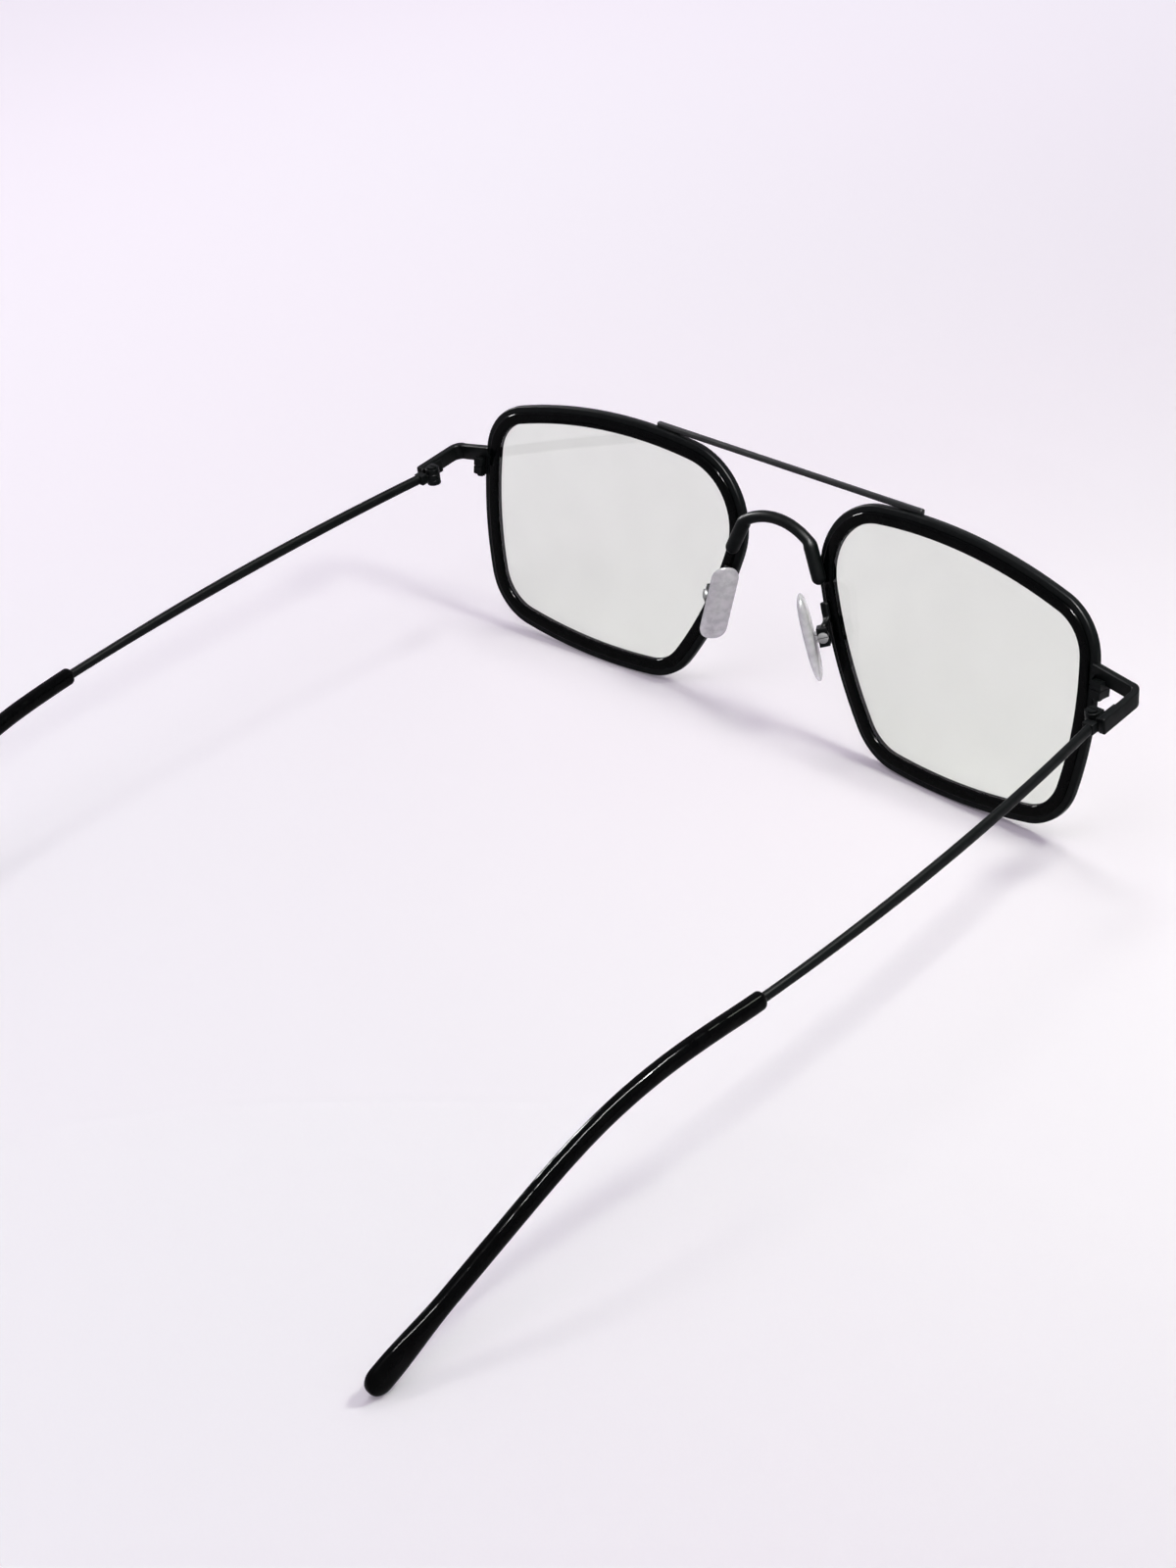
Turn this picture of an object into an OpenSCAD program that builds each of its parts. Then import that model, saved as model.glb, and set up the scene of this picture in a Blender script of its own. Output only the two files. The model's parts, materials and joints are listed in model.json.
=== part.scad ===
// Square metal and plastic eyeglasses with two bridges, standing open on a level surface.
// Lengths in millimetres, angles in degrees. +X is the wearer's left, -Y the front, +Z up.
// Everything is laid out upright in the front's own frame and then leaned until it stands.

/* [Lens opening] */
// Upper outer corner centre, sideways from the lens centre
upper_outer_x = 17.84; // [12:0.01:24]
// Upper outer corner centre, height above the lens centre
upper_outer_z = 8.78; // [5:0.01:14]
// Upper outer corner radius
upper_outer_radius = 6.6; // [3:0.01:10]
// Upper inner corner centre, sideways from the lens centre
upper_inner_x = -14.44; // [-20:0.01:-8]
// Upper inner corner centre, height above the lens centre
upper_inner_z = 7.93; // [5:0.01:14]
// Upper inner corner radius
upper_inner_radius = 10.07; // [5:0.01:13]
// Lower inner corner centre, sideways from the lens centre
lower_inner_x = -8.46; // [-16:0.01:-5]
// Lower inner corner centre, height above the lens centre
lower_inner_z = -10.53; // [-16:0.01:-6]
// Lower inner corner radius
lower_inner_radius = 7.75; // [4:0.01:11]
// Lower outer corner centre, sideways from the lens centre
lower_outer_x = 15.5; // [10:0.01:22]
// Lower outer corner centre, height above the lens centre
lower_outer_z = -9.81; // [-16:0.01:-6]
// Lower outer corner radius
lower_outer_radius = 7.4; // [4:0.01:11]
// Radius of the bowed top side
top_side_radius = 85; // [50:0.1:400]
// Radius of the bowed side next to the nose
inner_side_radius = 69.3; // [40:0.1:400]
// Radius of the bowed bottom side
bottom_side_radius = 90.7; // [50:0.1:400]
// Radius of the bowed side next to the temple
outer_side_radius = 65.7; // [40:0.1:400]

/* [Rims and lenses] */
// Distance of each lens centre from the middle of the front
lens_spread = 35.17; // [30:0.01:40]
// Angle each rim is turned back round its upright line
wrap_deg = 3.3; // [0:0.1:8]
// Width of the plastic ring across its face
insert_width = 1.85; // [1:0.01:3]
// Front to back depth of the plastic ring
insert_depth = 2.2; // [1.5:0.01:4]
// Chamfer on the four long edges of the plastic ring
insert_chamfer = 0.32; // [0.1:0.01:0.6]
// Width of the metal rim wire across its face
wire_width = 1.25; // [0.5:0.01:2]
// Front to back depth of the metal rim wire
wire_depth = 1.4; // [0.8:0.01:2]
// Depth of the metal wire sunk into the outside of the plastic ring
wire_seat = 0.2; // [0.05:0.01:0.5]
// Chamfer on the outer edges of the metal rim wire
wire_chamfer = 0.22; // [0.05:0.01:0.4]
// Thickness of the flat lens
lens_thickness = 1.4; // [1:0.01:1.8]
// Depth of the lens edge in the groove of the plastic ring
lens_seat = 0.6; // [0.3:0.01:1]
// Clearance all round the lens edge
lens_clearance = 0.02; // [0.01:0.01:0.1]
// Width of the saw cut that lets the rim open for the lens
rim_cut = 0.14; // [0.05:0.01:0.3]

/* [Bridges] */
// Half length of the straight upper bar
bar_half_length = 26.9; // [20:0.1:34]
// Height of the upper bar's top edge above the rims' top
bar_rise = 0.65; // [0.6:0.01:2]
// Height of the upper bar's section
bar_height = 0.95; // [0.8:0.01:2.5]
// Front to back depth of the upper bar
bar_depth = 0.95; // [0.8:0.01:2.5]
// Front face of the upper bar, behind the front of the lens centres
bar_front_y = -0.35; // [-1:0.01:1]
// Radius of the rod of the lower bridge
bridge_rod_radius = 0.95; // [0.6:0.01:1.5]
// Radius of the two feet of the lower bridge
bridge_foot_radius = 1.15; // [0.6:0.01:1.8]
// Height of the crest of the lower bridge's centre line
bridge_crest_z = 13.5; // [10:0.01:16]
// Start of each foot's centre line, inward of the rim's edge next to the nose
bridge_foot_inset = 0.79; // [0.5:0.01:3]
// Half angle of the arch of the lower bridge
bridge_arch_deg = 31; // [15:0.5:45]
// Radius of the bend from the arch into each foot
bridge_bend_radius = 2.2; // [1.2:0.01:4]
// Angle of the feet below the level
bridge_foot_deg = 66.5; // [50:0.5:85]
// Length of the straight part of each foot
bridge_foot_length = 4.9; // [2:0.1:7]
// Distance of the lower bridge's centre line behind the front
bridge_y = 1.55; // [1:0.01:3]

/* [End pieces and rim locks] */
// Thickness of the bent end piece strip
strip_thickness = 1.15; // [0.8:0.01:2]
// Height of the bent end piece strip
strip_height = 2.6; // [2.5:0.01:5]
// Slope of the end piece from the rim down to its corner
strip_slope_deg = 12; // [0:0.5:30]
// Height of the end piece's corner above its rear end
strip_corner_rise = 0.5; // [0:0.01:2]
// Chamfer on the long edges of the bent end piece strip
strip_chamfer = 0.2; // [0.05:0.01:0.4]
// How far the end piece reaches in over the rim's outer edge
strip_inset = 0.9; // [0.4:0.01:2]
// Outer radius of the end piece corner
strip_corner_radius = 2.3; // [1.3:0.01:4]
// Front face of the end piece, behind the front and measured along the temple
strip_front = 1.7; // [1:0.01:4]
// Distance of the strip's rear end behind the hinge pin
strip_tail = 1.0; // [0.5:0.01:2]
// Distance of the rim lock's inner side face inside the rim's outer edge
lock_inset = 0.2; // [0.05:0.01:2.2]
// Height of the rim lock's middle above the hinge pin
lock_rise = 1.2; // [-2:0.01:4]
// Sideways width of the rim lock
lock_width = 1.8; // [1.7:0.01:4]
// Front face of the rim lock, behind the front
lock_front_y = 1.9; // [1:0.01:4]
// Front to back depth of the rim lock
lock_depth = 2.5; // [2.2:0.01:5]
// Height of each half of the rim lock
lock_half_height = 1.3; // [1.2:0.01:3]
// Radius of the lock screw's shank
lock_screw_radius = 0.45; // [0.3:0.01:0.7]
// Radius of the lock screw's head
lock_head_radius = 0.65; // [0.5:0.01:1.2]
// Height of the lock screw's head
lock_head_height = 0.35; // [0.2:0.01:0.8]

/* [Hinges] */
// Distance of the hinge pin outside the rim's outer edge
pin_out = 4.96; // [4:0.01:9]
// Hinge pin centre, behind the front
pin_y = 10.6; // [8:0.01:14]
// Hinge pin centre, height above the lens centres
pin_z = 4.5; // [0:0.01:10]
// Angle of the temples below the square to the front
temple_drop_deg = 12.1; // [5:0.1:18]
// Outside radius of the hinge barrels
barrel_radius = 1.15; // [0.9:0.01:2]
// Overall height of the three hinge barrels
barrel_height = 2.9; // [3:0.01:6]
// Height of the middle barrel on the temple
middle_barrel_height = 1.0; // [1:0.01:2]
// Clearance above and below the middle barrel
barrel_gap = 0.06; // [0.02:0.01:0.2]
// Radius of the hinge screw's shank
hinge_screw_radius = 0.5; // [0.3:0.01:0.7]
// Radius of the hinge screw's head
hinge_head_radius = 0.85; // [0.6:0.01:1.2]
// Height of the hinge screw's head
hinge_head_height = 0.3; // [0.2:0.01:0.8]
// Running clearance of the middle barrel on the hinge screw
pin_clearance = 0.03; // [0.01:0.01:0.1]
// Clearance of the fixed barrels and blocks on their screws
screw_clearance = 0.01; // [0.005:0.005:0.05]
// Thickness of the hinge leaf soldered inside the end piece
leaf_thickness = 0.4; // [0.2:0.01:0.8]
// Height of the hinge leaf
leaf_height = 2.3; // [1.5:0.01:5]
// Length of the hinge leaf ahead of the pin
leaf_length = 3.4; // [2:0.01:6]
// Side clearance between the middle barrel and the leaf
leaf_clearance = 0.06; // [0.02:0.01:0.2]
// Gap between the end piece and the temple when open
butt_gap = 0.35; // [0.1:0.01:1]
// Width of the screwdriver slots
slot_width = 0.22; // [0.1:0.01:0.4]
// Depth of the screwdriver slots
slot_depth = 0.18; // [0.1:0.01:0.3]

/* [Temples] */
// Distance from the hinge pin to the start of the plastic tip
wire_length = 76.2; // [60:0.1:95]
// Start of the wire's centre line outside the hinge pin
wire_offset = 0.8; // [0.4:0.01:2]
// Outward heading of the wire at the hinge
wire_out_deg = 6.7; // [0:0.1:12]
// Inward heading of the wire at the tip
wire_in_deg = 3.0; // [-5:0.1:10]
// Height of the wire's section at the hinge
wire_height_front = 1.7; // [1:0.01:3]
// Height of the wire's section at its middle
wire_height_mid = 1.85; // [1:0.01:3]
// Height of the wire's section at the tip
wire_height_back = 1.45; // [1:0.01:3]
// Thickness of the wire's section
wire_thickness = 1.2; // [0.8:0.01:2]
// Length of the plastic tip
tip_length = 72.5; // [50:0.1:90]
// Height of the plastic tip's section
tip_height = 2.75; // [2:0.01:4]
// Thickness of the plastic tip's section
tip_thickness = 2.25; // [1.6:0.01:4]
// Height of the paddle at the end of the tip
paddle_height = 4.5; // [3:0.01:7]
// Length over which the tip widens into the paddle
paddle_length = 15; // [8:0.1:25]
// Downward bend of the tip behind the ear
ear_bend_deg = 25.4; // [10:0.1:50]
// Start of the ear bend as a share of the tip's length
bend_start_share = 0.06; // [0:0.01:0.4]
// End of the ear bend as a share of the tip's length
bend_end_share = 0.6; // [0.3:0.01:0.9]
// Inward heading of the tip at the bend
tip_in_deg = 5.2; // [0:0.1:15]
// Inward heading of the tip past the bend
tip_end_in_deg = 6.7; // [0:0.1:20]
// Length of core wire inside the plastic tip
core_length = 56; // [20:0.1:65]
// Diameter of the core wire inside the plastic tip
core_diameter = 1.1; // [0.6:0.01:1.4]
// Clearance of the core wire in the plastic tip
core_clearance = 0.03; // [0.01:0.01:0.1]

/* [Nose pads] */
// Pad centre, outward of the rim's edge next to the nose
pad_inset = 1.74; // [0.5:0.01:4]
// Pad centre, behind the front
pad_y = 3.45; // [1:0.01:7]
// Pad centre, height above the lens centres
pad_z = -2.95; // [-8:0.01:4]
// Length of the pad
pad_length = 14.4; // [10:0.1:18]
// Width of the pad
pad_width = 4.4; // [3:0.01:8]
// Thickness of the pad
pad_thickness = 2.0; // [1.2:0.01:3]
// Angle of the pad's face round the upright line
pad_splay_deg = 35; // [10:0.5:60]
// Outward slope of the pad from top to bottom
pad_flare_deg = 16.7; // [5:0.1:30]
// Forward slope of the pad from top to bottom
pad_rake_deg = 6.7; // [0:0.1:20]
// Distance from the pad centre back to the screw
box_offset = 2.2; // [1.8:0.01:4]
// Shift of the box towards the eye along the screw
box_shift = 0.6; // [0:0.01:1.5]
// Length of the box along the screw
box_length = 2.2; // [1.6:0.01:3]
// Width of the box across the screw
box_width = 1.7; // [1.2:0.01:3]
// Height of the box
box_height = 3.1; // [2:0.01:5]
// Thickness of the lug between the cheeks of the box
lug_thickness = 0.8; // [0.5:0.01:1.5]
// Side clearance of the lug in the box
lug_clearance = 0.05; // [0.02:0.01:0.2]
// Height of the lug
lug_height = 1.7; // [1:0.01:3]
// Length of the core plate inside the pad
core_plate_length = 8.6; // [5:0.1:11]
// Width of the core plate inside the pad
core_plate_width = 2.0; // [1:0.01:3]
// Thickness of the core plate inside the pad
core_plate_thickness = 0.5; // [0.3:0.01:1]
// Radius of the pad screw's shank
pad_screw_radius = 0.4; // [0.3:0.01:0.6]
// Radius of the pad screw's head
pad_head_radius = 0.85; // [0.5:0.01:1.2]
// Height of the pad screw's head
pad_head_height = 0.35; // [0.2:0.01:0.8]
// Height on the rim of the top of the pad arm's foot
foot_top_z = 2.5; // [0:0.01:6]
// Length of the pad arm's foot along the rim
foot_length = 3.4; // [2:0.01:6]
// Thickness of the pad arm's foot behind the rim
foot_thickness = 0.8; // [0.5:0.01:1.5]
// Width of the pad arm's foot across the rim
foot_width = 1.5; // [0.8:0.01:2.5]
// Radius of the rod between the foot and the box
arm_radius = 0.5; // [0.3:0.01:0.9]

/* [Hidden] */

// Corner circles and side arcs of the lens opening, counter-clockwise from the upper outer corner
corner = [[upper_outer_x, upper_outer_z], [upper_inner_x, upper_inner_z],
    [lower_inner_x, lower_inner_z], [lower_outer_x, lower_outer_z]];
corner_radius = [upper_outer_radius, upper_inner_radius, lower_inner_radius, lower_outer_radius];
side_radius = [top_side_radius, inner_side_radius, bottom_side_radius, outer_side_radius];
corners = len(corner);

function after(i) = (i + 1) % corners;
function before(i) = (i + corners - 1) % corners;
function unit(v) = v / norm(v);
function angle_of(v) = atan2(v[1], v[0]);
function turn(a, b) = let (d = b - a) d < 0 ? d + 360 : d;
function mix(a, b, t) = a + (b - a) * t;
function smooth(t) = let (c = min(1, max(0, t))) c * c * (3 - 2 * c);

// Centre of the side arc that touches corner circles i and i + 1 from inside
function side_centre(i) = let (
    a = corner[i],
    b = corner[after(i)],
    da = side_radius[i] - corner_radius[i],
    db = side_radius[i] - corner_radius[after(i)],
    gap = norm(b - a),
    u = (b - a) / gap,
    along = (da * da - db * db + gap * gap) / (2 * gap),
    across = sqrt(da * da - along * along)
) a + along * u + across * [-u[1], u[0]];

side_middle = [for (i = [0:corners - 1]) side_centre(i)];
// Start and end direction of each corner arc; the side arcs lie between them
corner_start = [for (i = [0:corners - 1]) angle_of(corner[i] - side_middle[before(i)])];
corner_end = [for (i = [0:corners - 1]) angle_of(corner[i] - side_middle[i])];

rim_width = insert_width - wire_seat + wire_width;
wire_front = (insert_depth - wire_depth) / 2;
groove_depth = lens_seat + lens_clearance;
groove_half = lens_thickness / 2 + lens_clearance;
shank_side = leaf_clearance + barrel_radius + leaf_thickness;
arc_detail = 48;
round_detail = 40;
section_points = 14;
corner_steps = 9;
side_steps = 4;
arc_steps = corner_steps + side_steps;

// Stations round the lens opening: the place on its edge and the direction straight out of it
function arc_stations(centre, radius, from, to, steps) = [for (k = [0:steps - 1]) let (
    a = from + turn(from, to) * k / steps,
    out = [cos(a), sin(a)]
) [centre + radius * out, out]];
stations = [for (i = [0:corners - 1]) each concat(
    arc_stations(corner[i], corner_radius[i], corner_start[i], corner_end[i], corner_steps),
    arc_stations(side_middle[i], side_radius[i], corner_end[i], corner_start[after(i)], side_steps))];

// A section's points, out of the opening and in depth, at one station
function at_station(section, t) = [for (p = section)
    [t[0][0] + p[0] * t[1][0], t[0][1] + p[0] * t[1][1], p[1]]];
function ring_points(section) = [for (t = stations) each at_station(section, t)];

wire_in = insert_width - wire_seat;
wire_back = wire_front + wire_depth;

// Section of the plastic ring: lens groove inside, seat for the metal wire outside
insert_section = [[insert_chamfer, -insert_depth], [insert_width - insert_chamfer, -insert_depth],
    [insert_width, -insert_depth + insert_chamfer], [insert_width, -wire_back], [wire_in, -wire_back],
    [wire_in, -wire_front], [insert_width, -wire_front], [insert_width, -insert_chamfer],
    [insert_width - insert_chamfer, 0], [insert_chamfer, 0], [0, -insert_chamfer],
    [0, -insert_depth / 2 + groove_half], [groove_depth, -insert_depth / 2 + groove_half],
    [groove_depth, -insert_depth / 2 - groove_half], [0, -insert_depth / 2 - groove_half],
    [0, -insert_depth + insert_chamfer]];

// Section of the metal wire, seated in the outside of the plastic ring
wire_section = [[wire_in, -wire_back], [rim_width - wire_chamfer, -wire_back],
    [rim_width, -wire_back + wire_chamfer], [rim_width, -wire_front - wire_chamfer],
    [rim_width - wire_chamfer, -wire_front], [wire_in, -wire_front]];

// Outer half of all that the rim fills, for fitting soldered pieces against it
contact_section = [[insert_width / 2, -insert_depth], [insert_width - insert_chamfer, -insert_depth],
    [insert_width, -insert_depth + insert_chamfer], [insert_width, -wire_back],
    [rim_width - wire_chamfer, -wire_back], [rim_width, -wire_back + wire_chamfer],
    [rim_width, -wire_front - wire_chamfer], [rim_width - wire_chamfer, -wire_front],
    [insert_width, -wire_front], [insert_width, -insert_chamfer], [insert_width - insert_chamfer, 0],
    [insert_width / 2, 0]];

// Where the rim's own edges lie in the front, and what is placed by them
rim_points = ring_points(wire_section);
rim_top_z = max([for (q = rim_points) q[1]]);
rim_nose_x = min([for (q = rim_points) lens_spread + q[0] * cos(wrap_deg) + q[2] * sin(wrap_deg)]);
rim_edge_x = lens_spread + max([for (q = rim_points) q[0]]) * cos(wrap_deg);
bar_top_z = rim_top_z + bar_rise;
pin_x = rim_edge_x + pin_out;
pad_x = rim_nose_x + pad_inset;
lock_inner_x = rim_edge_x - lock_inset;
lock_mid_z = pin_z + lock_rise;
strip_reach = pin_y - strip_front;

// Turns a drawing in the lens plane into its place in the left rim; depth goes to the back
module in_rim() {
    translate([lens_spread, 0, 0])
        rotate([0, 0, wrap_deg])
            rotate([90, 0, 0])
                children();
}

// Places a left hand part, or its mirror image on the wearer's right
module on_side(side) {
    if (side > 0) children();
    else mirror([1, 0, 0]) children();
}

// Leans the upright glasses until the rims and both tips stand on the ground
module stand() {
    translate([0, stand_y, stand_z])
        rotate([lean_deg, 0, 0])
            children();
}

// The hinge's frame: the pin along Z, the open temple along Y
module at_pin() {
    translate([pin_x, pin_y, pin_z])
        rotate([-temple_drop_deg, 0, 0])
            children();
}

function from_pin(p) = [pin_x + p[0],
    pin_y + p[1] * cos(temple_drop_deg) + p[2] * sin(temple_drop_deg),
    pin_z - p[1] * sin(temple_drop_deg) + p[2] * cos(temple_drop_deg)];

// A closed ring that carries a section, listed counter-clockwise, round the lens opening
module ring(section) {
    n = len(section);
    m = len(stations);
    polyhedron(points = ring_points(section), faces = [for (j = [0:m - 1]) for (k = [0:n - 1]) let (
        a = j * n,
        b = (j + 1) % m * n,
        l = (k + 1) % n
    ) [a + k, a + l, b + l, b + k]], convexity = 8);
}

// Stretch of the rim between two stations
module rim_stretch(first, last) {
    in_rim()
        skin([for (k = [first:last]) at_station(contact_section, stations[k % len(stations)])]);
}

module rim_top() {
    rim_stretch(corner_steps, arc_steps + corner_steps);
}

module rim_nose_corner() {
    rim_stretch(arc_steps + floor(corner_steps / 3), 2 * arc_steps);
}

module rim_nose_side() {
    rim_stretch(arc_steps + corner_steps, 2 * arc_steps + 1);
}

module rim_temple_side() {
    rim_stretch(3 * arc_steps + corner_steps, 4 * arc_steps + ceil(corner_steps / 2));
}

module rim_wire() {
    difference() {
        in_rim() ring(wire_section);
        translate([lock_inner_x - 2 * lock_width, -lock_depth, lock_mid_z - rim_cut / 2])
            cube([4 * lock_width, 4 * lock_depth, rim_cut]);
    }
}

module rim_insert() {
    in_rim() ring(insert_section);
}

module lens() {
    in_rim()
        translate([0, 0, -(insert_depth + lens_thickness) / 2])
            linear_extrude(lens_thickness)
                polygon([for (t = stations) t[0] + lens_seat * t[1]]);
}

module straight_bar() {
    difference() {
        translate([0, bar_front_y, bar_top_z - bar_height])
            linear_extrude(bar_height)
                union() {
                    translate([-bar_half_length + bar_depth / 4, 0])
                        square([2 * bar_half_length - bar_depth / 2, bar_depth]);
                    translate([-bar_half_length, bar_depth / 4])
                        square([2 * bar_half_length, bar_depth / 2]);
                    for (s = [-1, 1])
                        for (y = [bar_depth / 4, bar_depth * 3 / 4])
                            translate([s * (bar_half_length - bar_depth / 4), y])
                                circle(r = bar_depth / 4, $fn = round_detail);
                }
        rim_top();
        mirror([1, 0, 0]) rim_top();
    }
}

// Centre line of the lower bridge, from foot to foot, in the upright plane of its rod
bend_x = rim_nose_x - bridge_foot_inset - bridge_bend_radius * sin(bridge_foot_deg);
bridge_arch_radius = bridge_bend_radius + bend_x / sin(bridge_arch_deg);
bridge_arch_centre = [0, bridge_crest_z - bridge_arch_radius];
bend_centre = [bend_x, bridge_arch_centre[1] + bend_x / tan(bridge_arch_deg)];
foot_angle = 90 - bridge_foot_deg;
arch_angle = 90 - bridge_arch_deg;
foot_start = bend_centre + bridge_bend_radius * [cos(foot_angle), sin(foot_angle)];
foot_down = [sin(foot_angle), -cos(foot_angle)];
bend_steps = 5;
crest_steps = 8;

// Each stop holds the centre, the direction out of the bend and the rod's radius
left_stops = concat(
    [for (b = [75:-25:0]) [foot_start + (bridge_foot_length + bridge_foot_radius * sin(b)) * foot_down,
        foot_angle, bridge_foot_radius * cos(b)]],
    [for (k = [0:bend_steps]) let (a = mix(foot_angle, arch_angle, k / bend_steps))
        [bend_centre + bridge_bend_radius * [cos(a), sin(a)], a,
            mix(bridge_foot_radius, bridge_rod_radius, smooth(k / bend_steps))]]);
crest_stops = [for (k = [1:crest_steps - 1]) let (a = mix(arch_angle, 180 - arch_angle, k / crest_steps))
    [bridge_arch_centre + bridge_arch_radius * [cos(a), sin(a)], a, bridge_rod_radius]];
right_stops = [for (k = [len(left_stops) - 1:-1:0]) let (t = left_stops[k])
    [[-t[0][0], t[0][1]], 180 - t[1], t[2]]];

module bridge_rod() {
    skin([for (t = concat(left_stops, crest_stops, right_stops))
        [for (k = [0:section_points - 1]) let (
            across = t[2] * cos(360 * k / section_points),
            deep = t[2] * sin(360 * k / section_points)
        ) [t[0][0] + across * cos(t[1]), bridge_y - deep, t[0][1] + across * sin(t[1])]]]);
}

module arched_bridge() {
    difference() {
        bridge_rod();
        rim_nose_corner();
        mirror([1, 0, 0]) rim_nose_corner();
    }
}

// The end piece's strip in the hinge's frame: from the rim down to the corner, round it and back
strip_inner = shank_side;
strip_bend = [strip_inner + strip_thickness - strip_corner_radius, strip_corner_radius - strip_reach];
strip_middle = strip_corner_radius - strip_thickness / 2;
strip_start_x = rim_edge_x - strip_inset - pin_x;
strip_run = strip_bend[0] - strip_start_x;
bend_stops = 12;

// Each stop holds the place of the centre line, the outward angle and the slope still left
strip_stops = concat(
    [[[strip_start_x, strip_bend[1] - strip_middle,
        strip_corner_rise + strip_run * tan(strip_slope_deg)], -90, 1]],
    [for (k = [0:bend_stops]) let (a = -90 + 90 * k / bend_stops, left = 1 - smooth(k / bend_stops))
        [[strip_bend[0] + strip_middle * cos(a), strip_bend[1] + strip_middle * sin(a),
            strip_corner_rise - strip_middle * sin(strip_slope_deg) * (1 - left) / 2], a, left]],
    [[[strip_bend[0] + strip_middle, strip_tail, 0], 0, 0]]);

function strip_ring(stop) = let (
    half = [strip_thickness / 2, strip_height / 2],
    cut = strip_chamfer,
    lean = strip_slope_deg * stop[2],
    out = [cos(stop[1]), sin(stop[1]), 0],
    up = [sin(lean), 0, cos(lean)]
) [for (p = [[half[0], -half[1] + cut], [half[0], half[1] - cut], [half[0] - cut, half[1]],
    [-half[0] + cut, half[1]], [-half[0], half[1] - cut], [-half[0], -half[1] + cut],
    [-half[0] + cut, -half[1]], [half[0] - cut, -half[1]]]) stop[0] + p[0] * out + p[1] * up];

module strip_body() {
    skin([for (stop = strip_stops) strip_ring(stop)]);
}

module lock_block(z, height) {
    translate([lock_inner_x, lock_front_y, z])
        cube([lock_width, lock_depth, height]);
}

lock_height = 2 * lock_half_height + rim_cut;
lock_screw_x = lock_inner_x + lock_width / 2;
lock_screw_y = lock_front_y + lock_depth - lock_width / 2;

module lock_bore(radius) {
    translate([lock_screw_x, lock_screw_y, lock_mid_z - 2 * lock_half_height])
        cylinder(r = radius, h = 4 * lock_half_height, $fn = round_detail);
}

module end_piece() {
    difference() {
        at_pin() strip_body();
        rim_temple_side();
        lock_block(lock_mid_z - lock_half_height - rim_cut, 2 * lock_half_height + 2 * rim_cut);
    }
}

module lock_upper() {
    difference() {
        lock_block(lock_mid_z + rim_cut / 2, lock_half_height);
        rim_temple_side();
        lock_bore(lock_screw_radius + screw_clearance);
    }
}

module lock_lower() {
    difference() {
        lock_block(lock_mid_z - rim_cut / 2 - lock_half_height, lock_half_height);
        rim_temple_side();
        lock_bore(lock_screw_radius + screw_clearance);
    }
}

// A slotted screw: shank up from the origin, head on top
module slotted_screw(shank_radius, shank_length, head_radius, head_height) {
    cylinder(r = shank_radius, h = shank_length, $fn = round_detail);
    difference() {
        translate([0, 0, shank_length])
            cylinder(r = head_radius, h = head_height, $fn = round_detail);
        translate([-head_radius, -slot_width / 2, shank_length + head_height - slot_depth])
            cube([2 * head_radius, slot_width, 2 * slot_depth]);
    }
}

module lock_screw() {
    translate([lock_screw_x, lock_screw_y, lock_mid_z + rim_cut / 2 + lock_half_height])
        mirror([0, 0, 1])
            slotted_screw(lock_screw_radius, lock_height, lock_head_radius, lock_head_height);
}

knuckle_height = (barrel_height - middle_barrel_height) / 2 - barrel_gap;

module hinge_bore(radius) {
    translate([0, 0, -barrel_height])
        cylinder(r = radius, h = 2 * barrel_height, $fn = round_detail);
}

module hinge_front() {
    at_pin()
        difference() {
            union() {
                for (s = [-1, 1])
                    translate([0, 0, s * (barrel_height - knuckle_height) / 2 - knuckle_height / 2]) {
                        cylinder(r = barrel_radius, h = knuckle_height, $fn = round_detail);
                        translate([0, -barrel_radius, 0])
                            cube([barrel_radius + leaf_clearance, barrel_radius, knuckle_height]);
                    }
                translate([barrel_radius + leaf_clearance, -leaf_length, -leaf_height / 2])
                    cube([leaf_thickness, leaf_length + strip_tail, leaf_height]);
            }
            hinge_bore(hinge_screw_radius + screw_clearance);
        }
}

module hinge_screw() {
    at_pin()
        translate([0, 0, -barrel_height / 2])
            slotted_screw(hinge_screw_radius, barrel_height, hinge_head_radius, hinge_head_height);
}

temple_face_y = strip_tail + butt_gap;
tang_half = middle_barrel_height / 2;
tang_width = wire_offset + wire_thickness / 2 + leaf_thickness;

module hinge_temple() {
    at_pin()
        difference() {
            union() {
                translate([0, 0, -tang_half])
                    cylinder(r = barrel_radius, h = middle_barrel_height, $fn = round_detail);
                translate([0, 0, -tang_half])
                    cube([barrel_radius, temple_face_y + wire_thickness, middle_barrel_height]);
                translate([0, temple_face_y, -wire_height_front / 2])
                    cube([tang_width, wire_thickness, wire_height_front]);
            }
            hinge_bore(hinge_screw_radius + pin_clearance);
        }
}

// Heading and drop along the temple: inward positive, downward positive
wire_steps = 22;
tip_steps = 36;
core_steps = 24;
wire_start_y = temple_face_y + wire_thickness;
wire_run = wire_length - wire_start_y;
wire_start = [wire_offset + wire_start_y * tan(wire_out_deg), wire_start_y, 0];

function wire_heading(t) = mix(-wire_out_deg, wire_in_deg, t);
function tip_heading(s) = lookup(s, [[0, wire_in_deg], [bend_start_share, tip_in_deg],
    [(bend_start_share + bend_end_share) / 2, tip_end_in_deg], [1, tip_end_in_deg]]);
function tip_drop(s) = ear_bend_deg * smooth((s - bend_start_share) / (bend_end_share - bend_start_share));
function heading_vector(h, d) = [-sin(h) * cos(d), cos(h) * cos(d), -sin(d)];

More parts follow.
